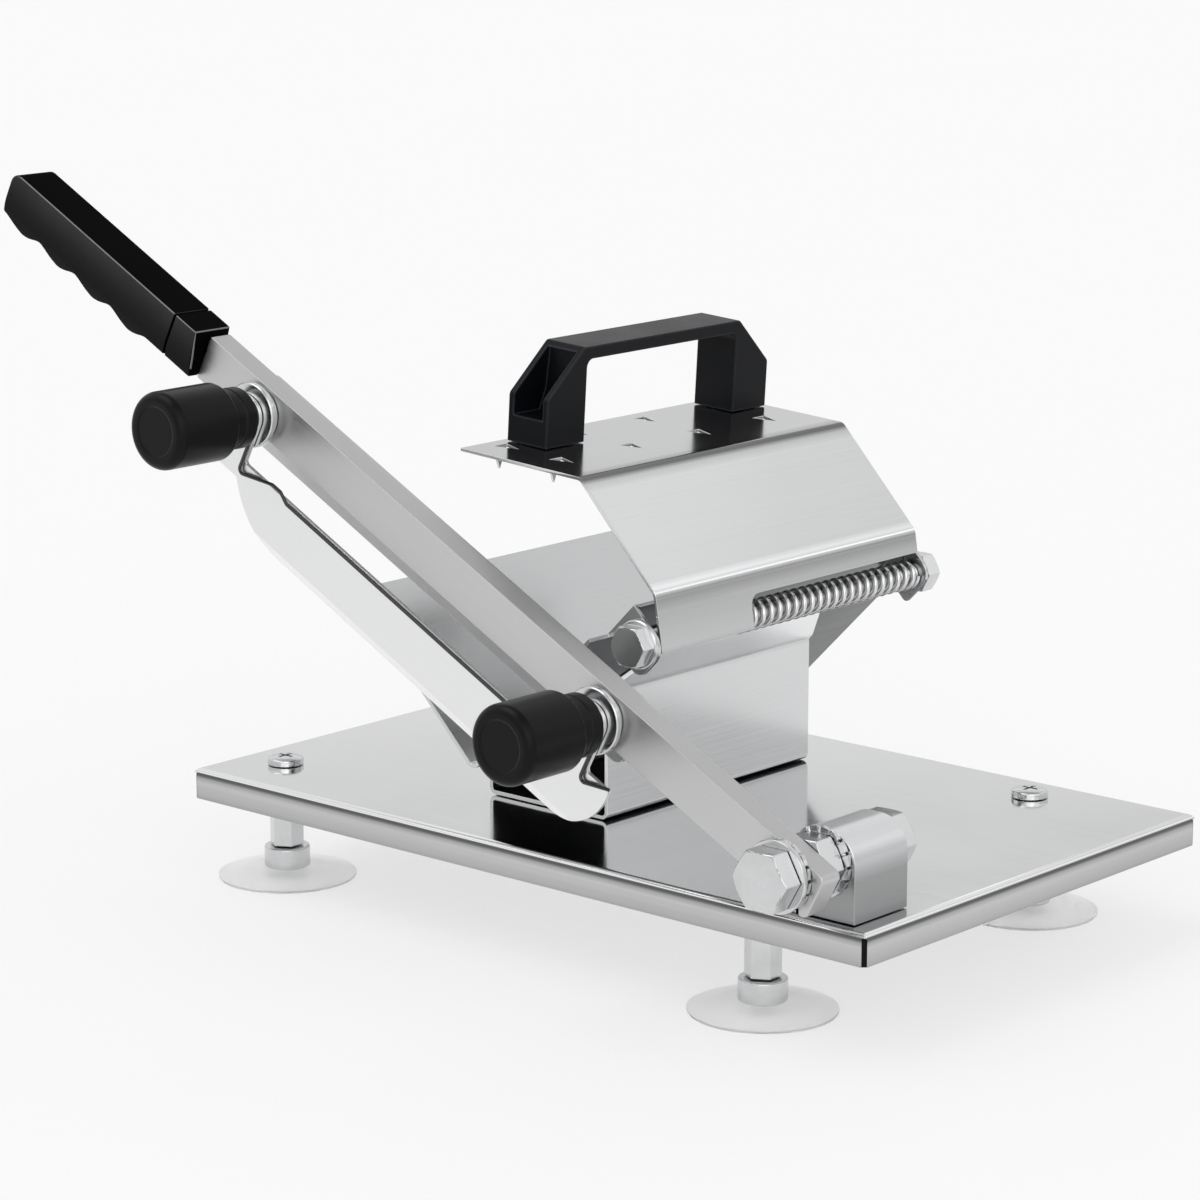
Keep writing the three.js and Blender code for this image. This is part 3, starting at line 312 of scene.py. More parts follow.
def ramp(tree, factor, stops, interpolation="LINEAR"):
    """A colour ramp through stops of (position, colour)."""
    node = add(tree, "ShaderNodeValToRGB", {"Fac": factor})
    node.color_ramp.interpolation = interpolation
    elements = node.color_ramp.elements
    while len(elements) < len(stops):
        elements.new(0.5)
    for element, (position, color) in zip(elements, stops):
        element.position = position
    for element, (position, color) in zip(elements, stops):
        element.color = color
    return node.outputs["Color"]


# Materials
FINE_DETAIL, FINE_ROUGHNESS, FINE_SHARE, BROAD_DETAIL, WAVE_SCALE = 2, 0.62, 0.45, 3, 9
TONE_FROM, TONE_TO, ROUGH_FROM, ROUGH_TO, LEAST_ROUGHNESS = 0.32, 0.68, 0.3, 0.7, 0.02
EDGE_SAMPLES, LEAST_EDGE_STRENGTH = 4, 0.3


def painted_light_by_height(tree, tint, place, painted_light):
    """Painted shade and painted highlights: a tint multiplied by a factor that follows the height, from
    pairs of millimetres and factor.
    """
    bottom, top = painted_light[0][0], painted_light[-1][0]
    height = add(tree, "ShaderNodeSeparateXYZ", {0: place}).outputs["Z"]
    stops = [((mm - bottom) / (top - bottom), grey(factor)) for mm, factor in painted_light]
    return mixed(tree, 1, tint, ramp(tree, span(tree, height, bottom * MM, top * MM), stops), "MULTIPLY")


def edged(tree, tint, broad, color, radius, gain):
    """A tint with another colour at the edges, unevenly strong. A lighter colour paints a highlight along
    the edges, on the metals together with edge wear.
    """
    rounded = add(tree, "ShaderNodeBevel", {"Radius": radius * MM}, samples=EDGE_SAMPLES)
    facing = {0: add(tree, "ShaderNodeNewGeometry").outputs["Normal"], 1: rounded.outputs["Normal"]}
    dot = add(tree, "ShaderNodeVectorMath", facing, operation="DOT_PRODUCT").outputs["Value"]
    edge_strength = maths(tree, "MULTIPLY_ADD", broad, gain, gain * LEAST_EDGE_STRENGTH)
    share = maths(tree, "MULTIPLY", maths(tree, "SUBTRACT", 1, dot), edge_strength, use_clamp=True)
    return mixed(tree, share, tint, color)


def surface(name, color, metallic, roughness, grain, tone=0.05, spread=0.06, bump=0.1, depth=0.01,
            edge_color=None, edge_radius=0.35, edge_gain=6, turn=0, broad_scale=16, wave=0, painted_light=None,
            extra=None):
    """A procedural surface. Grain scales a fine noise along the part's axes, and a broad noise varies
    tone and roughness. Depth and wave are reliefs in millimetres, wave a wide one. Turn lays the
    pattern along the lever, and extra sets more of the shader's inputs."""
    material = bpy.data.materials.new(name)
    material.use_nodes = True
    tree = material.node_tree
    place = add(tree, "ShaderNodeTexCoord").outputs["Object"]
    if turn:
        turning = {"Vector": place, "Angle": -turn}
        place = add(tree, "ShaderNodeVectorRotate", turning, rotation_type="Y_AXIS").outputs["Vector"]
    stretched = add(tree, "ShaderNodeMapping", {"Vector": place, "Scale": grain}).outputs["Vector"]
    fine = noise(tree, stretched, 1, FINE_DETAIL, FINE_ROUGHNESS)
    broad = noise(tree, place, broad_scale, BROAD_DETAIL)
    both = maths(tree, "MULTIPLY_ADD", fine, FINE_SHARE, maths(tree, "MULTIPLY", broad, 1 - FINE_SHARE))
    low = tuple(c * (1 - tone) for c in color) + (1,)
    high = tuple(min(c * (1 + tone), 1) for c in color) + (1,)
    tint = ramp(tree, both, [(TONE_FROM, low), (TONE_TO, high)])
    # Painted light: shade and highlights painted onto the tint by height.
    if painted_light:
        tint = painted_light_by_height(tree, tint, place, painted_light)
    if edge_color:
        tint = edged(tree, tint, broad, edge_color, edge_radius, edge_gain)
    least = max(roughness - spread, LEAST_ROUGHNESS)
    relief = {"Strength": bump, "Distance": depth * MM, "Height": fine}
    if wave:
        swell = {"Distance": wave * MM, "Height": noise(tree, place, WAVE_SCALE, 0)}
        relief["Normal"] = add(tree, "ShaderNodeBump", swell).outputs["Normal"]
    inputs = {
        "Metallic": metallic, "Base Color": tint,
        "Roughness": span(tree, both, ROUGH_FROM, ROUGH_TO, least, roughness + spread),
        "Normal": add(tree, "ShaderNodeBump", relief).outputs["Normal"],
    }
    plug(tree, tree.nodes["Principled BSDF"], inputs | (extra or {}))
    return material


# Where an edge colour below is lighter than the metal, it paints a highlight along the edges together with
# edge wear.
polished_steel = surface("polished_steel", (0.8, 0.805, 0.81), 1, 0.11, (14, 1300, 1300), tone=0.025,
                         spread=0.035, bump=0.05, depth=0.008, edge_color=grey(0.9), wave=0.12)
# A darker copy of the steel for the skirts, with their own brushing: painted shade, and by height a painted
# dark line under the top fold and darker towards the bottom.
skirt_steel = surface("skirt_steel", (0.57, 0.57, 0.575), 1, 0.34, (4, 4, 2200), tone=0.07,
                      broad_scale=9, painted_light=[(30.5, 0.7), (32, 0.82), (36.8, 1), (38.4, 0.72),
                                            (39.3, 0.25), (39.9, 0.2), (40.6, 0.8)])
# Painted light on the press by height: a painted highlight along the side bend, a painted dark line along
# the top bend and a darker lip.
press_steel = surface("press_steel", (0.73, 0.735, 0.74), 1, 0.16, (2400, 4, 2400), spread=0.04,
                      bump=0.06, depth=0.008, edge_color=grey(0.9), broad_scale=8, wave=0.5,
                      painted_light=[(112, 0.66), (114.5, 0.82), (126.5, 0.74), (130, 0.56), (131.6, 0.68),
                             (132.7, 1.24), (134, 1.28), (135.6, 1), (162.5, 1), (164.8, 0.8),
                             (166.2, 0.22), (167.1, 0.22), (167.5, 0.9), (172, 0.9)])
# Painted light on the stand by height: a darker line at the shoulder fold and a lighter flange above it.
stand_steel = surface("stand_steel", (0.66, 0.665, 0.67), 1, 0.22, (2400, 4, 2400), spread=0.05,
                      bump=0.07, depth=0.008, edge_color=grey(0.86), broad_scale=8, wave=0.4,
                      painted_light=[(42, 1), (85.5, 1.02), (87.5, 0.9), (90, 1.22), (101, 1.3)])
tray_steel = surface("tray_steel", (0.6, 0.605, 0.61), 1, 0.22, (2400, 4, 2400), spread=0.05,
                     bump=0.07, depth=0.008, edge_color=grey(0.82), broad_scale=8, wave=0.4)
# A dark copy of the steel for the tray's faces turned down and out: painted shade.
underside_shade_steel = surface("underside_shade_steel", (0.15, 0.153, 0.157), 1, 0.36, (900, 14, 900), tone=0.08,
                          spread=0.08, bump=0.12)
# A near-black copy of the steel for the stand's inner faces: painted shade in the channel.
inside_shade_steel = surface("inside_shade_steel", (0.075, 0.076, 0.078), 1, 0.42, (900, 14, 900), tone=0.1,
                       spread=0.08, bump=0.12)
arm_steel = surface("arm_steel", (0.6, 0.6, 0.6), 1, 0.44, (4, 2000, 2000), tone=0.04,
                    edge_color=grey(0.36), turn=LEVER_ANGLE)
sawn_steel = surface("sawn_steel", (0.6, 0.6, 0.6), 1, 0.45, (60, 1600, 60), tone=0.06, spread=0.08,
                     bump=0.15, depth=0.012, turn=LEVER_ANGLE)
# Painted light on the block by height: darker low down and a painted highlight over its rounded top.
block_steel = surface("block_steel", (0.5, 0.505, 0.51), 1, 0.34, (1300, 30, 1300), tone=0.04,
                      spread=0.05, bump=0.04, edge_color=grey(0.88),
                      painted_light=[(42, 0.6), (56, 0.68), (60, 0.95), (65, 1.5), (71.5, 1.6)])
zinc = surface("zinc_plate", (0.64, 0.645, 0.65), 1, 0.21, (260, 260, 260), tone=0.06, spread=0.05,
               bump=0.03, edge_color=grey(0.9), edge_gain=3, broad_scale=70)
blade_steel = surface("blade_steel", (0.84, 0.845, 0.845), 1, 0.36, (4, 1500, 2400), tone=0.02,
                      spread=0.05, bump=0.05, depth=0.008, edge_color=grey(0.93), turn=LEVER_ANGLE)
ground_steel = surface("ground_edge", (0.9, 0.9, 0.9), 1, 0.19, (1500, 40, 40), tone=0.04, bump=0.15,
                       turn=LEVER_ANGLE)
# Near black, for the strips sunk in the base's corner seams: painted shadow in the gaps.
seam_painted_shadow = surface("seam_painted_shadow", (0.008, 0.008, 0.008), 0, 0.7, (600, 600, 600), tone=0.2, spread=0.1,
                    extra={"Specular IOR Level": 0.05})
dark_steel = surface("dark_wire", (0.075, 0.075, 0.078), 1, 0.4, (600, 600, 600), tone=0.12, spread=0.1)
spring_steel = surface("spring_steel", (0.72, 0.72, 0.72), 1, 0.2, (700, 700, 700), tone=0.06,
                       bump=0.08, depth=0.008, broad_scale=60)
# Bluish lighter edges on the handle: a painted highlight along the edges.
satin_plastic = surface("satin_plastic", (0.0042, 0.0046, 0.006), 0, 0.36, (1500, 1500, 1500), tone=0.2,
                        bump=0.14, depth=0.015, edge_color=(0.05, 0.056, 0.068, 1), edge_radius=0.9,
                        edge_gain=7, broad_scale=40, extra={"Specular IOR Level": 0.11})
# Lighter along the rounded edges: a painted highlight.
knob_plastic = surface("knob_plastic", (0.002, 0.002, 0.0022), 0, 0.32, (1300, 1300, 1300), tone=0.2,
                       spread=0.04, bump=0.03, depth=0.015, edge_color=grey(0.02), edge_radius=0.8,
                       broad_scale=40, extra={"Specular IOR Level": 0.15})
rubber = surface("rubber", (0.0015, 0.0015, 0.0017), 0, 0.72, (1200, 1200, 1200), tone=0.25, spread=0.07,
                 bump=0.25, depth=0.02, broad_scale=40, extra={"Specular IOR Level": 0.02})
# A lighter copy of the rubber for the grip's front and rear faces: painted light, lighter towards the top
# edge and darker towards the belly.
lit_rubber_side = surface("lit_rubber_side", (0.034, 0.034, 0.035), 0, 0.52, (1200, 1200, 1200), tone=0.2,
                      spread=0.07, bump=0.25, depth=0.02, broad_scale=40, turn=LEVER_ANGLE,
                      painted_light=[(121, 0.06), (128, 0.14), (134, 0.4), (139, 0.75), (142, 1)],
                      extra={"Specular IOR Level": 0.05})
# A light grey for the lines along the grip's edges: a painted highlight.
ridge_highlight_rubber = surface("ridge_highlight_rubber", (0.16, 0.16, 0.163), 0, 0.4, (600, 600, 600), tone=0.25,
                       spread=0.08, bump=0.2, depth=0.02, broad_scale=60)
cup_plastic = surface("cup_plastic", (0.98, 0.98, 0.98), 0, 0.37, (300, 300, 300), tone=0.015,
                      bump=0.02, depth=0.015, broad_scale=60, extra={
                          "Transmission Weight": 0.92, "IOR": 1.1, "Subsurface Weight": 0.35,
                          "Subsurface Radius": (1, 1, 1), "Subsurface Scale": 0.004})


def give(obj, material, chosen):
    """A second material on the faces that a test of their normal and centre picks."""
    obj.data.materials.append(material)
    index = len(obj.data.materials) - 1
    for polygon in obj.data.polygons:
        if chosen(polygon.normal, polygon.center):
            polygon.material_index = index


# Pieces
NEARLY_FLAT, NORMAL_WEIGHT = 0.05, 50


def smooth(obj, bevel, segments, angle):
    for polygon in obj.data.polygons:
        polygon.use_smooth = True
    if not bevel:
        obj.data.set_sharp_from_angle(angle=math.radians(angle))
        return
    edges = obj.modifiers.new("edges", "BEVEL")
    edges.width = bevel * MM
    edges.segments = segments
    edges.limit_method = "ANGLE"
    edges.angle_limit = math.radians(angle)
    edges.use_clamp_overlap = False
    normals = obj.modifiers.new("normals", "WEIGHTED_NORMAL")
    normals.keep_sharp = True
    normals.weight = NORMAL_WEIGHT


def piece(node, bm, matrix, body, slot, material, bevel=0.2, segments=2, angle=30, name=None,
          replace=True):
    """A finished piece from a solid in its group's frame. It takes the place of the CAD node of that
    name, or is added beside it where replace is false."""
    bmesh.ops.dissolve_limit(bm, angle_limit=math.radians(NEARLY_FLAT), verts=bm.verts, edges=bm.edges)
    bmesh.ops.recalc_face_normals(bm, faces=bm.faces)
    bm.transform(matrix)
    name = name or node + "_fine"
    mesh = bpy.data.meshes.new(name)
    bm.to_mesh(mesh)
    bm.free()
    obj = bpy.data.objects.new(name, mesh)
    bpy.context.scene.collection.objects.link(obj)
    smooth(obj, bevel, segments, angle)
    mesh.materials.append(material)
    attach(obj, body)
    if replace:
        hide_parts(node)
    return obj


def zinc_piece(node, bm, matrix, body="frame", **how):
    return piece(node, bm, matrix, body, "zinc", zinc, **how)


def placed(line, start):
    """A line of (radius, place) points with its places measured from a start."""
    return [(radius, start + place) for radius, place in line]


def cross_slots(reach, half, low, high):
    """The two cuts of a cross recess."""
    along, across, height = (-reach, reach), (-half, half), (low, high)
    return [box(along, across, height), box(across, along, height)]


# Base plate with its folded skirts, a seam at each corner and a near-black strip in each seam as painted
# shadow
BASE_X, BASE_Y, BASE_TOP, BASE_SHEET, SKIRT = 153, 93.5, 41.7, 1.2, 11.2
SKIRT_BOTTOM = BASE_TOP - SKIRT
FOLD = 2.2
SEAM_HALF, SEAM_REACH, SEAM_RISE = 0.62, 4, 0.6
SHADOW_STRIP_HALF, SHADOW_STRIP_INWARD, SHADOW_STRIP_RECESS, SHADOW_STRIP_LIFT = 0.58, 2.6, 0.6, 0.2
UPRIGHT_SHARE = 0.35
CORNERS = [(sx, sy) for sx in (-1, 1) for sy in (-1, 1)]


def seam_points(sx, sy, half, inward, outward):
    """A narrow strip across a corner of the base, from inside it to outside it."""
    x, y = sx * BASE_X, sy * BASE_Y
    return [
        (x + sx * (along - side * half), y + sy * (along + side * half))
        for along, side in ((outward, 1), (outward, -1), (-inward, -1), (-inward, 1))
    ]


def base_plate():
    def profile(half):
        return outline([
            (-half, SKIRT_BOTTOM), (half, SKIRT_BOTTOM), (half, BASE_TOP, FOLD), (-half, BASE_TOP, FOLD),
        ])
    shell = combine(prism(profile(BASE_X), -BASE_Y, BASE_Y, "Y"),
                    prism(profile(BASE_Y), -BASE_X, BASE_X, "X"), "INTERSECT")
    inner_x, inner_y, inner_top = BASE_X - BASE_SHEET, BASE_Y - BASE_SHEET, BASE_TOP - BASE_SHEET
    hollow = box((-inner_x, inner_x), (-inner_y, inner_y), (SKIRT_BOTTOM - OVERRUN, inner_top))
    seams = [
        prism(seam_points(sx, sy, SEAM_HALF, SEAM_REACH, SEAM_REACH), SKIRT_BOTTOM - OVERRUN,
              BASE_TOP - FOLD + SEAM_RISE, "Z")
        for sx, sy in CORNERS
    ]
    return cut(shell, [hollow] + seams)


plate = piece("base_plate", base_plate(), BASE, "frame", "polished_steel", polished_steel, bevel=0.18)
# The upright faces take the darker skirt steel: painted shade.
give(plate, skirt_steel, lambda normal, centre: abs(normal.z) < UPRIGHT_SHARE)
# A near-black strip sunk in each corner seam: a painted shadow in the gap.
for sx, sy in CORNERS:
    shadow_strip = prism(seam_points(sx, sy, SHADOW_STRIP_HALF, SHADOW_STRIP_INWARD, -SHADOW_STRIP_RECESS),
                   SKIRT_BOTTOM + SHADOW_STRIP_LIFT, BASE_TOP - FOLD, "Z")
    corner = ("left" if sx < 0 else "right") + ("_front" if sy < 0 else "_rear")
    piece("base_plate", shadow_strip, BASE, "frame", "polished_steel", seam_painted_shadow, bevel=0.05,
          name="seam_" + corner, replace=False)

# Feet, from the cup up to the screw through the base, as lines of (radius, height)
FOOT_PLACES = [(-132.2, -67.5), (-132.2, 67.5), (96.6, -74.1), (96.6, 74.1)]
CUP_LINE = [(0, 1.3), (9, 1.3), (15, 0.75), (20, 0.3), (23.4, 0), (25, 0), (25, 0.9), (20, 1.45),
            (15, 2.15), (11, 2.85), (9, 3.2), (2.9, 3.2), (2.9, 18.8), (0, 18.8)]
FOOT_NUT_LINE = [(3.2, 3.5), (7.5, 3.5), (8.1, 3.8), (8.3, 4.3), (8.3, 10.7), (8.1, 11.2), (7.5, 11.5),
                 (3.2, 11.5), (3.2, 3.5)]
FOOT_SCREW_LINE = [(0, 31.1), (2.9, 31.1), (2.9, 42), (6.5, 42), (6.5, 43.65), (6.2, 44.2), (5.4, 44.62),
                   (4.2, 44.86), (2.6, 45), (0, 45)]
STANDOFF_ACROSS, STANDOFF_BOTTOM, STANDOFF_BORE, BORE_TOP = 11, 11.8, 3.2, 19.1
UNDER_BASE = BASE_TOP - BASE_SHEET - SEAT_GAP
RECESS_REACH, RECESS_HALF, RECESS_FLOOR, RECESS_TOP = 3.2, 0.65, 43.6, 48

for number, (foot_x, foot_y) in enumerate(FOOT_PLACES, 1):
    foot = BASE @ Matrix.Translation((foot_x, foot_y, 0))
    piece(f"suction_cup_{number}", turned(CUP_LINE, "Z"), foot, "frame", "cup_plastic", cup_plastic,
          bevel=0.15, angle=20)
    zinc_piece(f"foot_nut_{number}", turned(FOOT_NUT_LINE, "Z"), foot, bevel=0.15)
    standoff = cut(prism(hexagon(STANDOFF_ACROSS), STANDOFF_BOTTOM, UNDER_BASE, "Z"),
                   [rod(STANDOFF_BORE, STANDOFF_BOTTOM - OVERRUN, BORE_TOP, "Z")])
    zinc_piece(f"foot_standoff_{number}", standoff, foot, bevel=0.4, segments=3)
    screw = cut(turned(FOOT_SCREW_LINE, "Z", SMALL_SIDES),
                cross_slots(RECESS_REACH, RECESS_HALF, RECESS_FLOOR, RECESS_TOP))
    zinc_piece(f"foot_screw_{number}", screw, foot, bevel=0.12)

# Stand
STAND_SHEET, STAND_BEND, STAND_LEFT, STAND_RIGHT, STAND_FRONT, STAND_REAR = 1.5, 1.2, -48.3, 7, -49, 61.7
STAND_RISE, FLANGE, FLANGE_CHAMFER, INSIDE_SHARE, END_SHARE = 45.6, 19, 11, 0.4, 0.5
STAND_BOTTOM = BASE_TOP + SEAT_GAP
STAND_SHOULDER = BASE_TOP + STAND_RISE


def stand():
    step = FLANGE / math.sqrt(2)
    channel = prism(sheet_outline([
        (STAND_RIGHT + step, STAND_SHOULDER + step), (STAND_RIGHT, STAND_SHOULDER),
        (STAND_RIGHT, STAND_BOTTOM), (STAND_LEFT, STAND_BOTTOM), (STAND_LEFT, STAND_SHOULDER),
        (STAND_LEFT - step, STAND_SHOULDER + step),
    ], STAND_SHEET, [STAND_BEND] * 4), STAND_FRONT, STAND_REAR, "Y")
    cutters = []
    for edge, out in ((STAND_RIGHT, 1), (STAND_LEFT, -1)):
        for end, away in ((STAND_FRONT, -1), (STAND_REAR, 1)):
            cutters.append(prism([
                (edge + out * step * 2, end + away * OVERRUN),
                (edge + out * STAND_SHEET, end + away * OVERRUN),
                (edge + out * STAND_SHEET, end),
                (edge + out * step, end - away * FLANGE_CHAMFER),
                (edge + out * step * 2, end - away * FLANGE_CHAMFER),
            ], STAND_SHOULDER - STAND_SHEET, STAND_SHOULDER + step + OVERRUN, "Z"))
    return cut(channel, cutters)


stand_piece = piece("stand", stand(), BASE, "frame", "brushed_steel", stand_steel, bevel=0.25)
inner_left = (BASE @ Vector((STAND_LEFT + STAND_SHEET * INSIDE_SHARE, 0, 0))).x
inner_right = (BASE @ Vector((STAND_RIGHT - STAND_SHEET * INSIDE_SHARE, 0, 0))).x
inner_top = (BASE @ Vector((0, 0, STAND_SHOULDER))).z
# The stand's inner faces take the near-black copy: painted shade.
give(stand_piece, inside_shade_steel,
     lambda normal, centre: inner_left < centre.x < inner_right and centre.z < inner_top
     and abs(normal.y) < END_SHARE)

# Tray, with a tab bent out at each end of its right wall
TRAY_SHEET, TRAY_BEND, WALL_LEFT, WALL_RIGHT, TRAY_FRONT, TRAY_REAR = 1.5, 2, 78, 92, -87, 89.5
APEX_X = (STAND_LEFT + STAND_RIGHT) / 2
APEX_Z = STAND_SHOULDER - (STAND_RIGHT - APEX_X) + (STAND_SHEET + SEAT_GAP) * math.sqrt(2)
ROD_ALONG = ((ROD_X - APEX_X) + (ROD_Z - APEX_Z)) / math.sqrt(2)
ROD_OUT = ((ROD_X - APEX_X) - (ROD_Z - APEX_Z)) / math.sqrt(2)
ROD_RADIUS = 3.5
NEAR_TAB, FAR_TAB, TAB_DOWN, TAB_UP = -77.5, 71, 9, 7.2
NEAR_TAB_SHAPE, FAR_TAB_SHAPE = (8.4, 4, 7), (6.4, 1.5, 6)
DOWN_SHARE = 0.9


def wall_point(along, out, radius=0):
    return (APEX_X + (along + out) / math.sqrt(2), APEX_Z + (along - out) / math.sqrt(2), radius)


def tray_tab(front, reach, lower, upper):
    """A tab across the rod that reaches past it, with the radii of its two outer corners."""
    low, high = ROD_ALONG - TAB_DOWN, ROD_ALONG + TAB_UP
    return prism(outline([
        wall_point(low, -TRAY_SHEET / 2), wall_point(low, ROD_OUT + reach, lower),
        wall_point(high, ROD_OUT + reach, upper), wall_point(high, -TRAY_SHEET / 2),
    ]), front, front + TRAY_SHEET, "Y")


def meat_tray():
    left, right = WALL_LEFT / math.sqrt(2), WALL_RIGHT / math.sqrt(2)
    walls = prism(sheet_outline([
        (APEX_X + right, APEX_Z + right), (APEX_X, APEX_Z), (APEX_X - left, APEX_Z + left),
    ], TRAY_SHEET, [TRAY_BEND]), TRAY_FRONT, TRAY_REAR, "Y")
    low, high = ROD_ALONG - TAB_DOWN, WALL_RIGHT + OVERRUN
    strip = [p[:2] for p in (
        wall_point(low, OVERRUN), wall_point(high, OVERRUN),
        wall_point(high, -TRAY_SHEET - OVERRUN), wall_point(low, -TRAY_SHEET - OVERRUN),
    )]
    walls = cut(walls, [prism(strip, TRAY_FRONT - OVERRUN, NEAR_TAB, "Y"),
                        prism(strip, FAR_TAB, TRAY_REAR + OVERRUN, "Y")])
    near, far = tray_tab(NEAR_TAB, *NEAR_TAB_SHAPE), tray_tab(FAR_TAB - TRAY_SHEET, *FAR_TAB_SHAPE)
    body = join([walls, near, far])
    bore = rod(ROD_RADIUS + SEAT_GAP, TRAY_FRONT - OVERRUN, TRAY_REAR + OVERRUN)
    return cut(body, [moved(bore, ROD_X, 0, ROD_Z)])


tray = piece("meat_tray", meat_tray(), BASE, "frame", "brushed_steel", tray_steel, bevel=0.22)
slope = math.sqrt(0.5)
# The tray's faces turned down take the dark copy: painted shade.
give(tray, underside_shade_steel, lambda normal, centre: slope * (abs(normal.x) - normal.z) > DOWN_SHARE)

# Rod and its nut
ROD_HEX, ROD_FLANGE_SHEET, ROD_HEAD = 13, 1.5, 4.8
ROD_FLANGE_LINE = [(0, 0), (7.9, 0), (8.4, 0.5), (8.4, 1.5), (0, 1.5)]
ROD_FLANGE_REAR = NEAR_TAB - SEAT_GAP
ROD_FLANGE_FRONT = ROD_FLANGE_REAR - ROD_FLANGE_SHEET
ROD_PITCH, ROD_THREAD, SHANK_END, THREAD_LAP, THREAD_OUT = 1.25, 0.35, 60, 0.5, 1.5
ROD_NUT = 6.5
ROD_NUT_FRONT = FAR_TAB + SEAT_GAP
ROD_NUT_REAR = ROD_NUT_FRONT + ROD_NUT


def threaded(radius, depth, pitch, front, rear, lead_in=0.6):
    """A shank whose surface runs in the ridges of a thread, with a small lead-in at the rear."""
    profile = [(0, front)]
    place = front
    while place < rear - lead_in:
        profile += [(radius, place), (radius - depth, place + pitch / 2)]
        place += pitch
    profile += [(radius - depth, rear), (0, rear)]
    return turned(profile, "Y", SMALL_SIDES)


shank = rod(ROD_RADIUS, ROD_FLANGE_FRONT - ROD_HEAD / 2, SHANK_END, sides=ROUND_SIDES)
flange = turned(placed(ROD_FLANGE_LINE, ROD_FLANGE_FRONT))
head = hex_bar(ROD_HEX, ROD_FLANGE_FRONT - ROD_HEAD, ROD_FLANGE_FRONT + ROD_FLANGE_SHEET / 2,
               chamfer_rear=False)
zinc_piece("press_rod", join([head, flange, shank]), ROD, bevel=0.18)
thread = threaded(ROD_RADIUS, ROD_THREAD, ROD_PITCH, SHANK_END - THREAD_LAP, ROD_NUT_REAR + THREAD_OUT)
zinc_piece("press_rod", thread, ROD, bevel=0, name="press_rod_thread", replace=False)
nut = cut(hex_bar(ROD_HEX, ROD_NUT_FRONT, ROD_NUT_REAR),
          [rod(ROD_RADIUS + SEAT_GAP, ROD_NUT_FRONT - OVERRUN, ROD_NUT_REAR + OVERRUN)])
zinc_piece("press_rod_nut", nut, ROD, bevel=0.15)

# Thrust washer and spring, which keeps its rear end when the press slides
SPRING_WIRE, SPRING_COIL, SPRING_CURLS, SPRING_END_PITCH, SPRING_FRONT = 0.8, 4.5, 22, 2.7, -26.3
SPRING_REAR = FAR_TAB - TRAY_SHEET - SEAT_GAP
CURL_STEPS = 30
THRUST_SHEET, THRUST_RADIUS = 1.5, 5.3
THRUST_REAR = SPRING_FRONT - SEAT_GAP
THRUST_FRONT = THRUST_REAR - THRUST_SHEET
SLIDING_BORE = ROD_RADIUS + RUNNING_GAP
zinc_piece("press_thrust_washer", ring(THRUST_RADIUS, SLIDING_BORE, THRUST_FRONT, THRUST_REAR), ROD,
           "press_slider", bevel=0.15)


def spring_points():
    start, end = SPRING_FRONT + SPRING_WIRE, SPRING_REAR - SPRING_WIRE
    open_pitch = (end - start - 2 * SPRING_END_PITCH) / (SPRING_CURLS - 2)
    points = []
    for i in range(SPRING_CURLS * CURL_STEPS + 1):
        curl = i / CURL_STEPS
        first, last = min(curl, 1), max(curl - (SPRING_CURLS - 1), 0)
        place = start + (first + last) * SPRING_END_PITCH + (curl - first - last) * open_pitch
        a = 2 * math.pi * curl
        points.append((SPRING_COIL * math.cos(a), place, SPRING_COIL * math.sin(a)))
    return points


spring = piece("press_spring", tube(spring_points(), SPRING_WIRE), ROD, "frame", "brushed_steel",
               spring_steel, bevel=0)
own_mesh(spring)

# Press: plate with its turned-down teeth
PRESS_SHEET, PRESS_FRONT, PRESS_REAR, PRESS_TOP = 1.2, -74.5, 66.5, 49.8
LIP_X, LIP_Z, SIDE_X, SIDE_Z, TOP_BEND_X, PRESS_LEFT = 7.5, -2.1, 3.2, 17.2, -31.8, -86.4
TOP_BEND, SIDE_BEND = 2.2, 4
NOTCH_FRONT, NOTCH_TOP, NOTCH_ROUND = SPRING_FRONT - SEAT_GAP, 9.3, 4
TOOTH_BASE, TOOTH_LENGTH, TOOTH_DROP, TOOTH_FIRST, TOOTH_PITCH = 6, 8, 8.5, -60, 36
TOOTH_ROWS = [(-56, 4), (-81, 3)]
TOOTH_PLACES = [(x, TOOTH_FIRST + TOOTH_PITCH * i) for x, count in TOOTH_ROWS for i in range(count)]


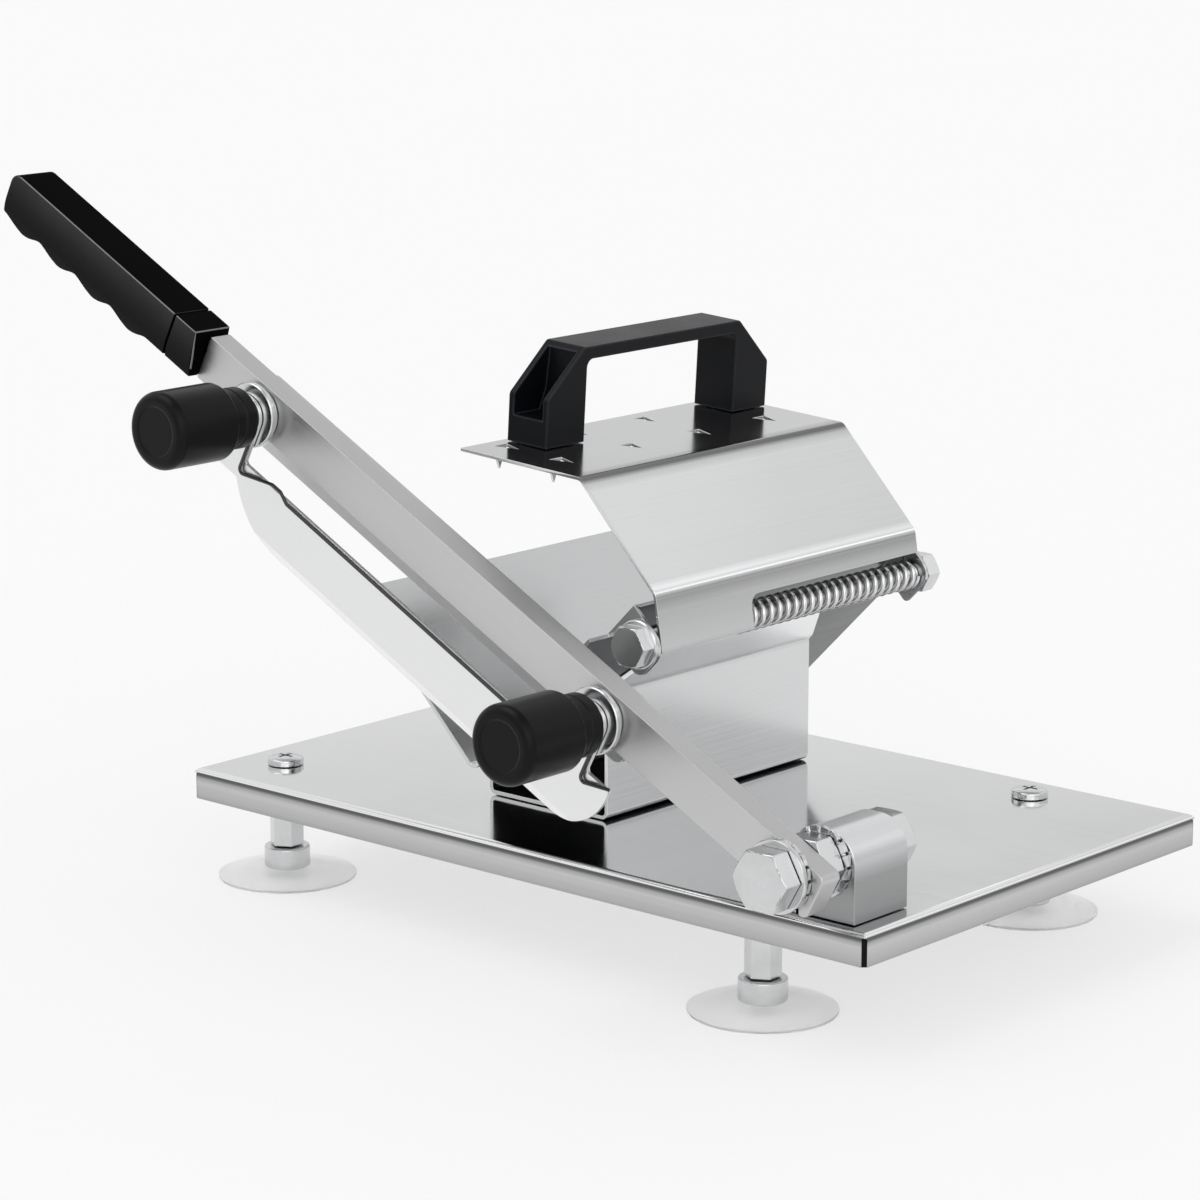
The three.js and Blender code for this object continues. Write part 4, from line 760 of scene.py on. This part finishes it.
def press_plate():
    body = prism(sheet_outline([
        (PRESS_LEFT, PRESS_TOP), (TOP_BEND_X, PRESS_TOP), (SIDE_X, SIDE_Z), (LIP_X, LIP_Z),
    ], PRESS_SHEET, [TOP_BEND, SIDE_BEND]), PRESS_FRONT, PRESS_REAR, "Y")
    notch = prism(outline([
        (NOTCH_FRONT, LIP_Z - OVERRUN), (PRESS_REAR + OVERRUN, LIP_Z - OVERRUN),
        (PRESS_REAR + OVERRUN, NOTCH_TOP), (NOTCH_FRONT, NOTCH_TOP, NOTCH_ROUND),
    ]), 0, LIP_X + OVERRUN, "X")
    openings = [prism([
        (x, y - TOOTH_BASE / 2), (x + TOOTH_LENGTH, y), (x, y + TOOTH_BASE / 2),
    ], PRESS_TOP - PRESS_SHEET - OVERRUN, PRESS_TOP + OVERRUN, "Z") for x, y in TOOTH_PLACES]
    flaps = [prism([
        (y - TOOTH_BASE / 2, PRESS_TOP - PRESS_SHEET / 2), (y, PRESS_TOP - TOOTH_DROP),
        (y + TOOTH_BASE / 2, PRESS_TOP - PRESS_SHEET / 2),
    ], x - PRESS_SHEET, x, "X") for x, y in TOOTH_PLACES]
    return join([cut(body, [notch] + openings)] + flaps)


piece("press_plate", press_plate(), PRESS, "press", "brushed_steel", press_steel, bevel=0.2)

# Handle of the press, from outlines of (y, height over its foot, radius)
HANDLE_OUTLINE = [(-54, 0), (-34.5, 0), (-34.5, 28.8, 3), (45.5, 28.8, 3), (45.5, 0), (64, 0), (64, 16.9, 2),
                  (47, 33.3, 2), (-36, 33.3, 2), (-54, 16.9, 2)]
NEAR_POCKET = [(-57, 9.5), (-41, 9.5), (-38.1, 16.9), (-36.6, 31.332), (-41.16, 31.332), (-57, 16.9)]
FAR_POCKET = [(67, 9.5), (51, 9.5), (49.3, 16.9), (47.8, 31.332), (52.04, 31.332), (67, 16.9)]
HANDLE_LEFT, HANDLE_WIDE, HANDLE_WALL = -83.8, 18, 2.4
HANDLE_RIGHT, HANDLE_MIDDLE = HANDLE_LEFT + HANDLE_WIDE, HANDLE_LEFT + HANDLE_WIDE / 2
HANDLE_BOTTOM = PRESS_TOP + SEAT_GAP
HANDLE_SCREWS = {"near": -44.25, "far": 54.75}


def press_handle():
    def raised(corners, left, right):
        points = outline([(y, HANDLE_BOTTOM + z, *radius) for y, z, *radius in corners])
        return prism(points, left, right, "X")
    pockets = [raised(corners, HANDLE_LEFT + HANDLE_WALL, HANDLE_RIGHT - HANDLE_WALL)
               for corners in (NEAR_POCKET, FAR_POCKET)]
    return cut(raised(HANDLE_OUTLINE, HANDLE_LEFT, HANDLE_RIGHT), pockets)


piece("press_handle", press_handle(), PRESS, "press", "satin_plastic", satin_plastic, bevel=0.4)

# Screws from below, for the handle and the block. The line's places are measured from the head's seat.
SMALL_SCREW_LINE = [(0, -2.6), (3.08, -2.6), (3.96, -2.21), (4.4, -1.3), (4.4, 0), (2.4, 0)]
SMALL_SCREW, SCREW_BITE, SMALL_REACH, SMALL_HALF, SMALL_START, SMALL_FLOOR = 2.4, 8, 2.4, 0.5, -10.2, -1.4


def screw_from_below(seat, tip):
    body = turned(placed(SMALL_SCREW_LINE, seat) + [(SMALL_SCREW, tip), (0, tip)], "Z", SMALL_SIDES)
    return cut(body, cross_slots(SMALL_REACH, SMALL_HALF, seat + SMALL_START, seat + SMALL_FLOOR))


for end, y in HANDLE_SCREWS.items():
    screw = screw_from_below(PRESS_TOP - PRESS_SHEET - SEAT_GAP, HANDLE_BOTTOM + SCREW_BITE)
    zinc_piece(f"handle_screw_{end}", moved(screw, HANDLE_MIDDLE, y, 0), PRESS, "press", bevel=0.1)

lip_slope = (LIP_X - SIDE_X) / (SIDE_Z - LIP_Z)
SLEEVE_RADIUS = (SIDE_X + SIDE_Z * lip_slope - PRESS_SHEET) * math.cos(math.atan(lip_slope)) - SEAT_GAP * 2
sleeve = ring(SLEEVE_RADIUS, SLIDING_BORE, NEAR_TAB + TRAY_SHEET + SEAT_GAP, THRUST_FRONT - SEAT_GAP)
zinc_piece("press_sleeve", sleeve, PRESS, "press", bevel=0.15)

# Pivot block and its screws
BLOCK_HALF, BLOCK_RISE, BLOCK_ROUND, BLOCK_STEPS, BLOCK_SCREW_INSET = 13, 10.7, 11, 20, 7
BLOCK_BOTTOM = BASE_TOP + SEAT_GAP
BLOCK_FRONT, BLOCK_REAR = -89.3, -61.8
BOLT_RADIUS, BOLT_HEX = 6, 19
BOLT_BORE = BOLT_RADIUS + SEAT_GAP
block = prism(outline([
    (PIVOT_X - BLOCK_HALF, BLOCK_BOTTOM), (PIVOT_X + BLOCK_HALF, BLOCK_BOTTOM),
    (PIVOT_X + BLOCK_HALF, PIVOT_Z + BLOCK_RISE, BLOCK_ROUND),
    (PIVOT_X - BLOCK_HALF, PIVOT_Z + BLOCK_RISE, BLOCK_ROUND),
], BLOCK_STEPS), BLOCK_FRONT, BLOCK_REAR, "Y")
bore = rod(BOLT_BORE, BLOCK_FRONT - OVERRUN, BLOCK_REAR + OVERRUN)
piece("pivot_block", cut(block, [moved(bore, PIVOT_X, 0, PIVOT_Z)]), BASE, "frame", "polished_steel",
      block_steel, bevel=0.35, segments=3)
for number, y in enumerate((BLOCK_FRONT + BLOCK_SCREW_INSET, BLOCK_REAR - BLOCK_SCREW_INSET), 1):
    screw = screw_from_below(UNDER_BASE, BLOCK_BOTTOM + SCREW_BITE)
    zinc_piece(f"block_screw_{number}", moved(screw, PIVOT_X, y, 0), BASE, bevel=0.1)

# Pivot bolt with its washers and nuts, from the front to the rear
BOLT_HEAD_FRONT, BOLT_HEAD, BOLT_INSET = -121.4, 7.5, 2.5
BOLT_PITCH, BOLT_THREAD, BOLT_LAP = 1.75, 0.55, 0.7
WASHER_RADIUS, WASHER_SHEET, LOCK_SHEET = 12, 2, 1.5
ARM_FRONT, ARM_REAR, ARM_BOTTOM, ARM_TOP = -109.5, -100.5, -7.6, 9
BOLT_HEAD_REAR = BOLT_HEAD_FRONT + BOLT_HEAD
WASHER_FRONT = BOLT_HEAD_REAR + SEAT_GAP
WASHER_REAR = WASHER_FRONT + WASHER_SHEET
BOLT_REAR = BLOCK_REAR - BOLT_INSET
NUT, END_NUT, END_NUT_GAP, BOLT_OUT = 8.8, 8, 0.2, 1.4
NUT_FRONT = ARM_REAR + SEAT_GAP
NUT_REAR = NUT_FRONT + NUT
END_NUT_FRONT = BLOCK_REAR + SEAT_GAP
END_NUT_REAR = END_NUT_FRONT + END_NUT


def hex_nut(front, rear, bore):
    return cut(hex_bar(BOLT_HEX, front, rear), [rod(bore, front - OVERRUN, rear + OVERRUN)])


head = hex_bar(BOLT_HEX, BOLT_HEAD_FRONT, BOLT_HEAD_REAR, chamfer_rear=False)
shank = rod(BOLT_RADIUS, BOLT_HEAD_REAR - OVERRUN, BOLT_REAR, sides=ROUND_SIDES)
zinc_piece("pivot_bolt", join([head, shank]), PIVOT, bevel=0.25, segments=3)
thread = threaded(BOLT_RADIUS, BOLT_THREAD, BOLT_PITCH, BOLT_REAR - BOLT_LAP, END_NUT_REAR + BOLT_OUT)
zinc_piece("pivot_bolt", thread, PIVOT, bevel=0, name="pivot_bolt_thread", replace=False)
zinc_piece("pivot_bolt", hex_nut(END_NUT_FRONT, END_NUT_REAR, BOLT_RADIUS + END_NUT_GAP), PIVOT,
           bevel=0.25, segments=3, name="pivot_end_nut", replace=False)
washer = ring(WASHER_RADIUS, BOLT_BORE, WASHER_FRONT, WASHER_REAR)
zinc_piece("pivot_washer_front", washer, PIVOT, bevel=0.3)
zinc_piece("pivot_nut", hex_nut(NUT_FRONT, NUT_REAR, BOLT_BORE), PIVOT, bevel=0.25, segments=3)


def lock_washer(front, rear):
    """A washer whose rim is split into teeth that are twisted out of its plane."""
    teeth, per_tooth, twist, gap_share, middle_share, dent_share = 16, 12, 0.35, 0.12, 0.59, 0.4
    radii = (BOLT_BORE, 8.4, 9.8, 10.6, 11.8)
    root = 2
    sides = teeth * per_tooth
    bm = bmesh.new()
    layers = []
    for place in (front, rear):
        rows = []
        for k, radius in enumerate(radii):
            row = []
            for i in range(sides):
                a = 2 * math.pi * i / sides
                share = (i % per_tooth) / per_tooth
                is_dent = k > root and share < gap_share
                r = radii[root] + (radius - radii[root]) * dent_share if is_dent else radius
                out_share = max(k - 1, 0) / (len(radii) - root)
                lean = twist * 2 * (share - middle_share) * out_share
                row.append(bm.verts.new((r * math.cos(a), place + lean, r * math.sin(a))))
            rows.append(row)
        layers.append(rows)
    for i in range(sides):
        j = (i + 1) % sides
        for k in range(len(radii) - 1):
            for rows in layers:
                bm.faces.new((rows[k][i], rows[k][j], rows[k + 1][j], rows[k + 1][i]))
        for k in (0, len(radii) - 1):
            bm.faces.new((layers[0][k][i], layers[0][k][j], layers[1][k][j], layers[1][k][i]))
    bmesh.ops.recalc_face_normals(bm, faces=bm.faces)
    return bm


for end, front in (("front", WASHER_REAR + SEAT_GAP), ("rear", NUT_REAR + SEAT_GAP)):
    zinc_piece(f"pivot_lock_washer_{end}", lock_washer(front, front + LOCK_SHEET), PIVOT, bevel=0)

# Lever arm with its tang, and the strip behind it. Reaches are measured from the pivot along the arm.
ARM_NOSE, ARM_END, ARM_ROUND = 14.2, 292, 2.5
TANG_START, TANG_END, TANG_Y, TANG_Z = 280, 381, (-107.5, -102.5), (-4.3, 5.7)
STRIP_START, STRIP_END, STRIP_BOTTOM, STRIP_TOP, STRIP_ROUND, STRIP_SHEET = 75.6, 270, -17.8, 8, 4, 2
STUDS = {"lower": 84, "upper": 260}
STUD_HEIGHT, STUD_RADIUS = -1.5, 4
STUD_BORE = STUD_RADIUS + SEAT_GAP
STRIP_FRONT = ARM_REAR + SEAT_GAP
STRIP_REAR = STRIP_FRONT + STRIP_SHEET
ARM_BORES, STRIP_BORES = (-112, -98), (-101, -97)
SAWN_SHARE = 0.9


def at_stud(bm, reach):
    return moved(bm, -reach, 0, STUD_HEIGHT)


def studs_bored(bm, front, rear):
    return cut(bm, [at_stud(rod(STUD_BORE, front, rear), reach) for reach in STUDS.values()])


bar = prism(outline([
    (ARM_NOSE, ARM_BOTTOM, ARM_ROUND), (-ARM_END, ARM_BOTTOM), (-ARM_END, ARM_TOP),
    (ARM_NOSE, ARM_TOP, ARM_ROUND),
]), ARM_FRONT, ARM_REAR, "Y")
bar = join([bar, box((-TANG_END, -TANG_START), TANG_Y, TANG_Z)])
bar = studs_bored(cut(bar, [rod(BOLT_RADIUS + RUNNING_GAP, *ARM_BORES)]), *ARM_BORES)
arm = piece("lever_arm", bar, LEVER, "lever", "brushed_steel", arm_steel, bevel=0.5, segments=3)
up = Matrix.Rotation(LEVER_ANGLE, 3, "Y") @ Vector((0, 0, 1))
give(arm, sawn_steel, lambda normal, centre: abs(normal.dot(up)) > SAWN_SHARE)
strip = prism(outline([
    (-STRIP_START, STRIP_BOTTOM, STRIP_ROUND), (-STRIP_END, STRIP_BOTTOM, STRIP_ROUND),
    (-STRIP_END, STRIP_TOP, STRIP_ROUND), (-STRIP_START, STRIP_TOP, STRIP_ROUND),
]), STRIP_FRONT, STRIP_REAR, "Y")
piece("arm_backing", studs_bored(strip, *STRIP_BORES), LEVER, "lever", "brushed_steel", arm_steel,
      bevel=0.3)

# Grip: a collar at its mouth and a moulded body with finger bumps
GRIP_START, GRIP_END, GRIP_TOP, GRIP_BOTTOM, GRIP_FRONT, GRIP_REAR = 291, 399.2, 10.2, -6.8, -115.2, -98.8
BUMPS, BUMP_PITCH, BUMP_HEIGHT, FIRST_BUMP, BUMP_STEPS, BUMP_POWER = 4, 20.6, 3.3, 326.2, 22, 0.8
HEEL_ROUND, TIP_ROUND, MOUTH_ROUND, MOUTH_LEAN = 1.2, 4.2, 1, 3.3
COLLAR_REACH, GROOVE_HALF = 305.5, 0.35
BELLY_HEIGHT, BELLY_DEPTH, BELLY_POWER, BELLY_SHARE, GRIP_ROWS = 0.6, 10.5, 2.2, 0.3, 9
CORE_HALF, CORE_SIDE, CORE_INSET, SIDEWAYS_SHARE = 2, 1.9, 0.5, 0.75


def grip_body():
    mouth = -COLLAR_REACH - GROOVE_HALF
    belly = []
    for i in range(BUMPS * BUMP_STEPS + 1):
        bump = i / BUMP_STEPS
        wave = (1 - math.cos(bump * 2 * math.pi)) / 2
        reach = FIRST_BUMP + (bump - 0.5) * BUMP_PITCH
        belly.append((-reach, GRIP_BOTTOM - BUMP_HEIGHT * wave ** BUMP_POWER))
    corners = [(mouth, GRIP_BOTTOM)] + belly
    corners += [(-GRIP_END, GRIP_BOTTOM, HEEL_ROUND), (-GRIP_END, GRIP_TOP, TIP_ROUND), (mouth, GRIP_TOP)]
    return outline(corners)


def with_rounded_belly(bm):
    """Draws the lower part of the section in, so that the belly is rounder than the back."""
    middle = (GRIP_FRONT + GRIP_REAR) / 2
    half = (GRIP_REAR - GRIP_FRONT) / 2
    for vert in bm.verts:
        side = (vert.co.y - middle) / half
        low = min(max((BELLY_HEIGHT - vert.co.z) / BELLY_DEPTH, 0), 1)
        vert.co.y = middle + side * half * (1 - BELLY_SHARE * low ** BELLY_POWER)
    return bm


def grip_part(points):
    """A grip section: front and rear faces cut into rows from back to belly, so that they can bend."""
    bm = prism(points, GRIP_FRONT, GRIP_REAR, "Y")
    for k in range(1, GRIP_ROWS):
        height = GRIP_BOTTOM - BUMP_HEIGHT + (GRIP_TOP - GRIP_BOTTOM + BUMP_HEIGHT) * k / GRIP_ROWS
        geometry = list(bm.verts) + list(bm.edges) + list(bm.faces)
        bmesh.ops.bisect_plane(bm, geom=geometry, plane_co=(0, 0, height), plane_no=(0, 0, 1), dist=WELD)
    return with_rounded_belly(bm)


def grip_piece(bm, name=None, **how):
    return piece("lever_grip", bm, LEVER, "lever", "rubber", rubber, name=name, replace=not name, **how)


def grown(bounds):
    return bounds[0] - SEAT_GAP, bounds[1] + SEAT_GAP


def faces_sideways(normal, centre):
    return abs(normal.y) > SIDEWAYS_SHARE


tang_slot = (-TANG_END - SEAT_GAP, -TANG_START), grown(TANG_Y), grown(TANG_Z)
socket = (-ARM_END - SEAT_GAP, -TANG_START), grown((ARM_FRONT, ARM_REAR)), grown((ARM_BOTTOM, ARM_TOP))
grip = grip_piece(cut(grip_part(grip_body()), [box(*tang_slot)]), bevel=0.5, segments=3, angle=40)
# The grip's front and rear faces take the lighter rubber: painted light.
give(grip, lit_rubber_side, faces_sideways)
collar = grip_part(outline([
    (-GRIP_START, GRIP_BOTTOM, MOUTH_ROUND), (-COLLAR_REACH + GROOVE_HALF, GRIP_BOTTOM),
    (-COLLAR_REACH + GROOVE_HALF, GRIP_TOP), (-GRIP_START - MOUTH_LEAN, GRIP_TOP, MOUTH_ROUND),
]))
collar = grip_piece(cut(collar, [box(*tang_slot), box(*socket)]), "lever_grip_collar", bevel=0.45,
                    segments=3, angle=40)
give(collar, lit_rubber_side, faces_sideways)
core = cut(box((-COLLAR_REACH - CORE_HALF, -COLLAR_REACH + CORE_HALF),
               (GRIP_FRONT + CORE_SIDE, GRIP_REAR - CORE_SIDE),
               (GRIP_BOTTOM + CORE_INSET, GRIP_TOP - CORE_INSET)), [box(*tang_slot)])
grip_piece(core, "lever_grip_groove", bevel=0.3)

# Fine moulded lines along the edges of the grip, in a light grey that paints a highlight along the edges
RIDGE_RADIUS, RIDGE_SINK, RIDGE_SIDES, RIDGE_INSET = 0.32, 0.36, 10, 0.4
RIDGE_FRONT, RIDGE_REAR = GRIP_FRONT + RIDGE_RADIUS, GRIP_REAR - RIDGE_RADIUS
RIDGE_TOP = GRIP_TOP - RIDGE_SINK
ridge_end = -GRIP_END + RIDGE_INSET
tip = corner_arc((ridge_end, 0), (ridge_end, GRIP_TOP), (-COLLAR_REACH, GRIP_TOP), TIP_ROUND)
along_back = tip + [(-COLLAR_REACH - 0.7, GRIP_TOP)]
RIDGES = {
    "grip_ridge_front": [(x, RIDGE_FRONT, z - RIDGE_SINK) for x, z in along_back],
    "grip_ridge_collar": [(-COLLAR_REACH - 0.75, y, RIDGE_TOP) for y in (RIDGE_FRONT, RIDGE_REAR)],
    "collar_ridge_front": [
        (x, RIDGE_FRONT, RIDGE_TOP) for x in (-COLLAR_REACH + 0.7, -GRIP_START - 3.6)
    ],
    "collar_ridge_mouth": [
        (-GRIP_START - 3.5, RIDGE_REAR, RIDGE_TOP), (-GRIP_START - 3.5, RIDGE_FRONT, RIDGE_TOP),
        (-GRIP_START - 0.9, RIDGE_FRONT, 0.4), (-GRIP_START - 0.45, RIDGE_FRONT + 0.35, -3.2),
    ],
}
for name, points in RIDGES.items():
    piece("lever_grip", tube(points, RIDGE_RADIUS, RIDGE_SIDES), LEVER, "lever", "rubber", ridge_highlight_rubber,
          bevel=0, name=name, replace=False)

# Spacers between arm and blade, as a line of (radius, place) from the front
SPACER = 4.7
SPACER_LINE = [(4.3, 0), (10.9, 0), (11.3, 0.4), (11.3, 1.9), (10.9, 2.3), (9.3, 2.3), (9.3, SPACER),
               (4.3, SPACER), (4.3, 0)]
SPACER_FRONT = ARM_FRONT - SEAT_GAP - SPACER
for end, reach in STUDS.items():
    spacer = turned(placed(SPACER_LINE, SPACER_FRONT))
    zinc_piece(f"blade_spacer_{end}", at_stud(spacer, reach), LEVER, "lever", bevel=0.15)

# Blade with an ear at each stud
BLADE_SHEET, BLADE_EDGE, BLADE_TIP, BLADE_HEEL, BLADE_STEPS = 1.5, -38.2, 65.9, 254.4, 16
BLADE_OUTLINE = [
    (-BLADE_TIP, -16.3, 1.5), (-BLADE_TIP, BLADE_EDGE, 19), (-242, BLADE_EDGE, 38), (-BLADE_HEEL, -23),
    (-268.5, -23, 1.5), (-268.5, 5.5, 7), (-253, 5.5, 7), (-253, -16.3, 1.5),
    (-91, -16.3, 1.5), (-91, 5.5, 6.8), (-77, 5.5, 6.8), (-77, -16.3, 1.5),
]
GRIND_RISE, GRIND_LAND, GRIND_SHARE = 3, 0.35, 0.995
BLADE_REAR = SPACER_FRONT - SEAT_GAP
BLADE_FRONT = BLADE_REAR - BLADE_SHEET
blade = prism(outline(BLADE_OUTLINE, BLADE_STEPS), BLADE_FRONT, BLADE_REAR, "Y")
grind = prism([
    (BLADE_REAR - GRIND_LAND, BLADE_EDGE), (BLADE_FRONT, BLADE_EDGE + GRIND_RISE),
    (BLADE_FRONT - OVERRUN, BLADE_EDGE + GRIND_RISE), (BLADE_FRONT - OVERRUN, BLADE_EDGE - OVERRUN),
    (BLADE_REAR - GRIND_LAND, BLADE_EDGE - OVERRUN),
], -BLADE_HEEL, -BLADE_TIP, "X")
blade = studs_bored(cut(blade, [grind]), BLADE_FRONT - OVERRUN, BLADE_REAR + OVERRUN)
blade = piece("blade", blade, LEVER, "lever", "blade_steel", blade_steel, bevel=0.12)
grind_facing = Vector((0, -GRIND_RISE, GRIND_LAND - BLADE_SHEET)).normalized()
slant = Matrix.Rotation(LEVER_ANGLE, 3, "Y") @ grind_facing
give(blade, ground_steel, lambda normal, centre: normal.dot(slant) > GRIND_SHARE)

# Wire round the studs and along the top of the blade, as (reach, height)
WIRE_RADIUS, WIRE_LOOP, WIRE_BEND, WIRE_SIDES, LOOP_STEPS = 0.6, 6.4, 1.8, 12, 28
WIRE_BENDS = [(253.6, STUD_HEIGHT), (253.6, -20.5), (237.6, -14.6), (233.2, -14.6), (228.9, -16.8),
              (90.4, -16.8), (90.4, STUD_HEIGHT)]
WIRE_HOOK = [(77.6, STUD_HEIGHT), (77.6, -20.5), (65.6, -15)]
WIRE_PLACE = BLADE_FRONT - SEAT_GAP - WIRE_RADIUS


def loop_points(reach, start, sweep):
    points = []
    for i in range(LOOP_STEPS + 1):
        a = start + sweep * i / LOOP_STEPS
        points.append((reach + WIRE_LOOP * math.cos(a), STUD_HEIGHT + WIRE_LOOP * math.sin(a)))
    return points


def wire_points():
    points = loop_points(STUDS["upper"], -math.pi / 3, math.pi * 4 / 3)
    for a, b, c in zip(WIRE_BENDS, WIRE_BENDS[1:], WIRE_BENDS[2:]):
        points += corner_arc(a, b, c, WIRE_BEND)
    points += loop_points(STUDS["lower"], 0, math.pi)
    points += corner_arc(*WIRE_HOOK, WIRE_BEND) + WIRE_HOOK[2:]
    return [(-reach, WIRE_PLACE, height) for reach, height in points]


piece("blade_wire", tube(wire_points(), WIRE_RADIUS, WIRE_SIDES), LEVER, "lever", "dark_steel", dark_steel,
      bevel=0)

# Studs, bushes and knobs. Their lines are measured from the bush's rear, the knob's front and rear, and
# the stud's head.
BUSH_REAR, BUSH_RADIUS, BUSH_COLLAR, BUSH_LENGTH = -118.5, 6, 1.1, 22
BUSH_FLANGE = BUSH_REAR - BUSH_COLLAR
BUSH_FRONT = BUSH_FLANGE - BUSH_LENGTH
BUSH_LINE = [(4.1, -23.1), (6, -23.1), (6, -1.1), (8.3, -1.1), (8.6, -0.8), (8.6, 0), (4.1, 0),
             (4.1, -23.1)]
KNOB_FRONT, KNOB_REAR = -157.8, BUSH_FLANGE - SEAT_GAP
KNOB_RADIUS, KNOB_ROUND, KNOB_STEPS = 13.4, 3.2, 10
KNOB_FACE_LINE = [(0, 0.4), (8.3, 0.4), (8.8, 0)]
KNOB_NECK_LINE = [(13.4, -12.1), (13.2, -11.6), (11, -9.9), (10.6, -9.5), (10.6, -5.6), (10.2, -5.3),
                  (10.2, -4.9), (10.6, -4.6), (10.6, -0.4), (10.2, 0), (6.3, 0)]
STUD_THREAD, STUD_PITCH, STUD_TIP_INSET, STUD_THREAD_END = 0.4, 1.25, 1.2, -120
STUD_WAIST, STUD_LAP = 3.9, 1
STUD_HEAD = STRIP_REAR + SEAT_GAP
STUD_HEAD_LINE = [(STUD_WAIST, 0), (6.5, 0), (6.5, 2), (6, 2.5), (0, 2.5)]


def knob():
    bore, bore_end = BUSH_RADIUS + SEAT_GAP, BUSH_FRONT - SEAT_GAP
    profile = placed(KNOB_FACE_LINE, KNOB_FRONT)
    for i in range(KNOB_STEPS + 1):
        a = math.pi / 2 * i / KNOB_STEPS
        profile.append((KNOB_RADIUS - KNOB_ROUND * (1 - math.sin(a)),
                        KNOB_FRONT + KNOB_ROUND * (1 - math.cos(a))))
    return turned(profile + placed(KNOB_NECK_LINE, KNOB_REAR) + [(bore, bore_end), (0, bore_end)])


def stud():
    start = STUD_THREAD_END - STUD_LAP
    shank = turned([(0, start), (STUD_WAIST, start)] + placed(STUD_HEAD_LINE, STUD_HEAD))
    tip = BUSH_FRONT + STUD_TIP_INSET
    return join([threaded(STUD_RADIUS, STUD_THREAD, STUD_PITCH, tip, STUD_THREAD_END), shank])


for end, reach in STUDS.items():
    zinc_piece(f"blade_stud_{end}", at_stud(stud(), reach), LEVER, "lever", bevel=0, angle=35)
    bush = at_stud(turned(placed(BUSH_LINE, BUSH_REAR)), reach)
    zinc_piece(f"knob_bush_{end}", bush, LEVER, f"knob_{end}", bevel=0.12)
    piece(f"blade_knob_{end}", at_stud(knob(), reach), LEVER, f"knob_{end}", "knob_plastic", knob_plastic,
          bevel=0.3, segments=3, angle=32)

# Studio: a floor that is partly plain white where it is seen, which keeps its shadows soft
FLOOR_HALF, FLOOR_HEIGHT, FLOOR_GLOW = 14, -0.05, 0.6
floor_outline = [(-FLOOR_HALF, -FLOOR_HALF), (FLOOR_HALF, -FLOOR_HALF), (FLOOR_HALF, FLOOR_HALF),
                 (-FLOOR_HALF, FLOOR_HALF)]
bm = bmesh.new()
bm.faces.new([bm.verts.new((x, y, FLOOR_HEIGHT * MM)) for x, y in floor_outline])
mesh = bpy.data.meshes.new("floor")
bm.to_mesh(mesh)
bm.free()
floor = bpy.data.objects.new("floor", mesh)
bpy.context.scene.collection.objects.link(floor)
floor_material = surface("floor", (0.9, 0.9, 0.9), 0, 0.7, (30, 30, 30), tone=0.004, spread=0.03, bump=0.02,
                         depth=0.02, broad_scale=2)
mesh.materials.append(floor_material)
tree = floor_material.node_tree
rays = add(tree, "ShaderNodeLightPath").outputs
seen = rays["Is Camera Ray"]
for kind in ("Is Glossy Ray", "Is Transmission Ray"):
    seen = maths(tree, "MAXIMUM", seen, rays[kind])
lit_and_glowing = add(tree, "ShaderNodeMixShader", {
    0: maths(tree, "MULTIPLY", seen, FLOOR_GLOW),
    1: tree.nodes["Principled BSDF"].outputs[0],
    2: add(tree, "ShaderNodeEmission").outputs[0],
})
plug(tree, tree.nodes["Material Output"], {"Surface": lit_and_glowing.outputs[0]})

# World: grey tones by the height of a direction
WORLD_STRENGTH = 0.9
WORLD_TONES = [(0.0, 0.62), (0.1, 0.76), (0.21, 1.0), (0.3, 0.7), (0.4, 1.45), (0.5, 0.8), (0.67, 1.08),
               (0.82, 0.45), (1.0, 0.7)]
world = bpy.data.worlds.new("studio")
bpy.context.scene.world = world
world.use_nodes = True
tree = world.node_tree
direction = add(tree, "ShaderNodeTexCoord").outputs["Generated"]
height = add(tree, "ShaderNodeSeparateXYZ", {0: direction}).outputs["Z"]
tones = ramp(tree, height, [(position, grey(value)) for position, value in WORLD_TONES], "EASE")
plug(tree, tree.nodes["Background"], {"Color": tones, "Strength": WORLD_STRENGTH})

# Soft lamps without distance, each with its strength, its width in degrees and its direction
SUNS = {
    "key": (0.7, 40, (-0.5, -0.55, 1.3)),
    "fill": (0.3, 60, (1.2, -0.4, 0.9)),
    "low_fill": (0.4, 50, (0.9, -1.1, 0.32)),
}
for name, (strength, width, direction) in SUNS.items():
    light = bpy.data.lights.new(name, "SUN")
    light.energy = strength
    light.angle = math.radians(width)
    lamp = bpy.data.objects.new(name, light)
    lamp.rotation_mode = "QUATERNION"
    lamp.rotation_quaternion = Vector(direction).to_track_quat("Z", "Y")
    bpy.context.scene.collection.objects.link(lamp)

# Camera, in metres and degrees
CAMERA_PLACE, CAMERA_DOWN, CAMERA_TURN = (0.91559, -1.01436, 0.41378), 12.52, 41.38
camera_data = bpy.data.cameras.new("camera")
camera_data.lens = 119.7
camera_data.sensor_width = 36
camera_data.clip_start = 0.05
camera_data.clip_end = 60
camera = bpy.data.objects.new("camera", camera_data)
camera.location = CAMERA_PLACE
camera.rotation_euler = (math.radians(90 - CAMERA_DOWN), 0, math.radians(CAMERA_TURN))
bpy.context.scene.collection.objects.link(camera)
bpy.context.scene.camera = camera
bpy.context.scene.view_settings.view_transform = "Standard"
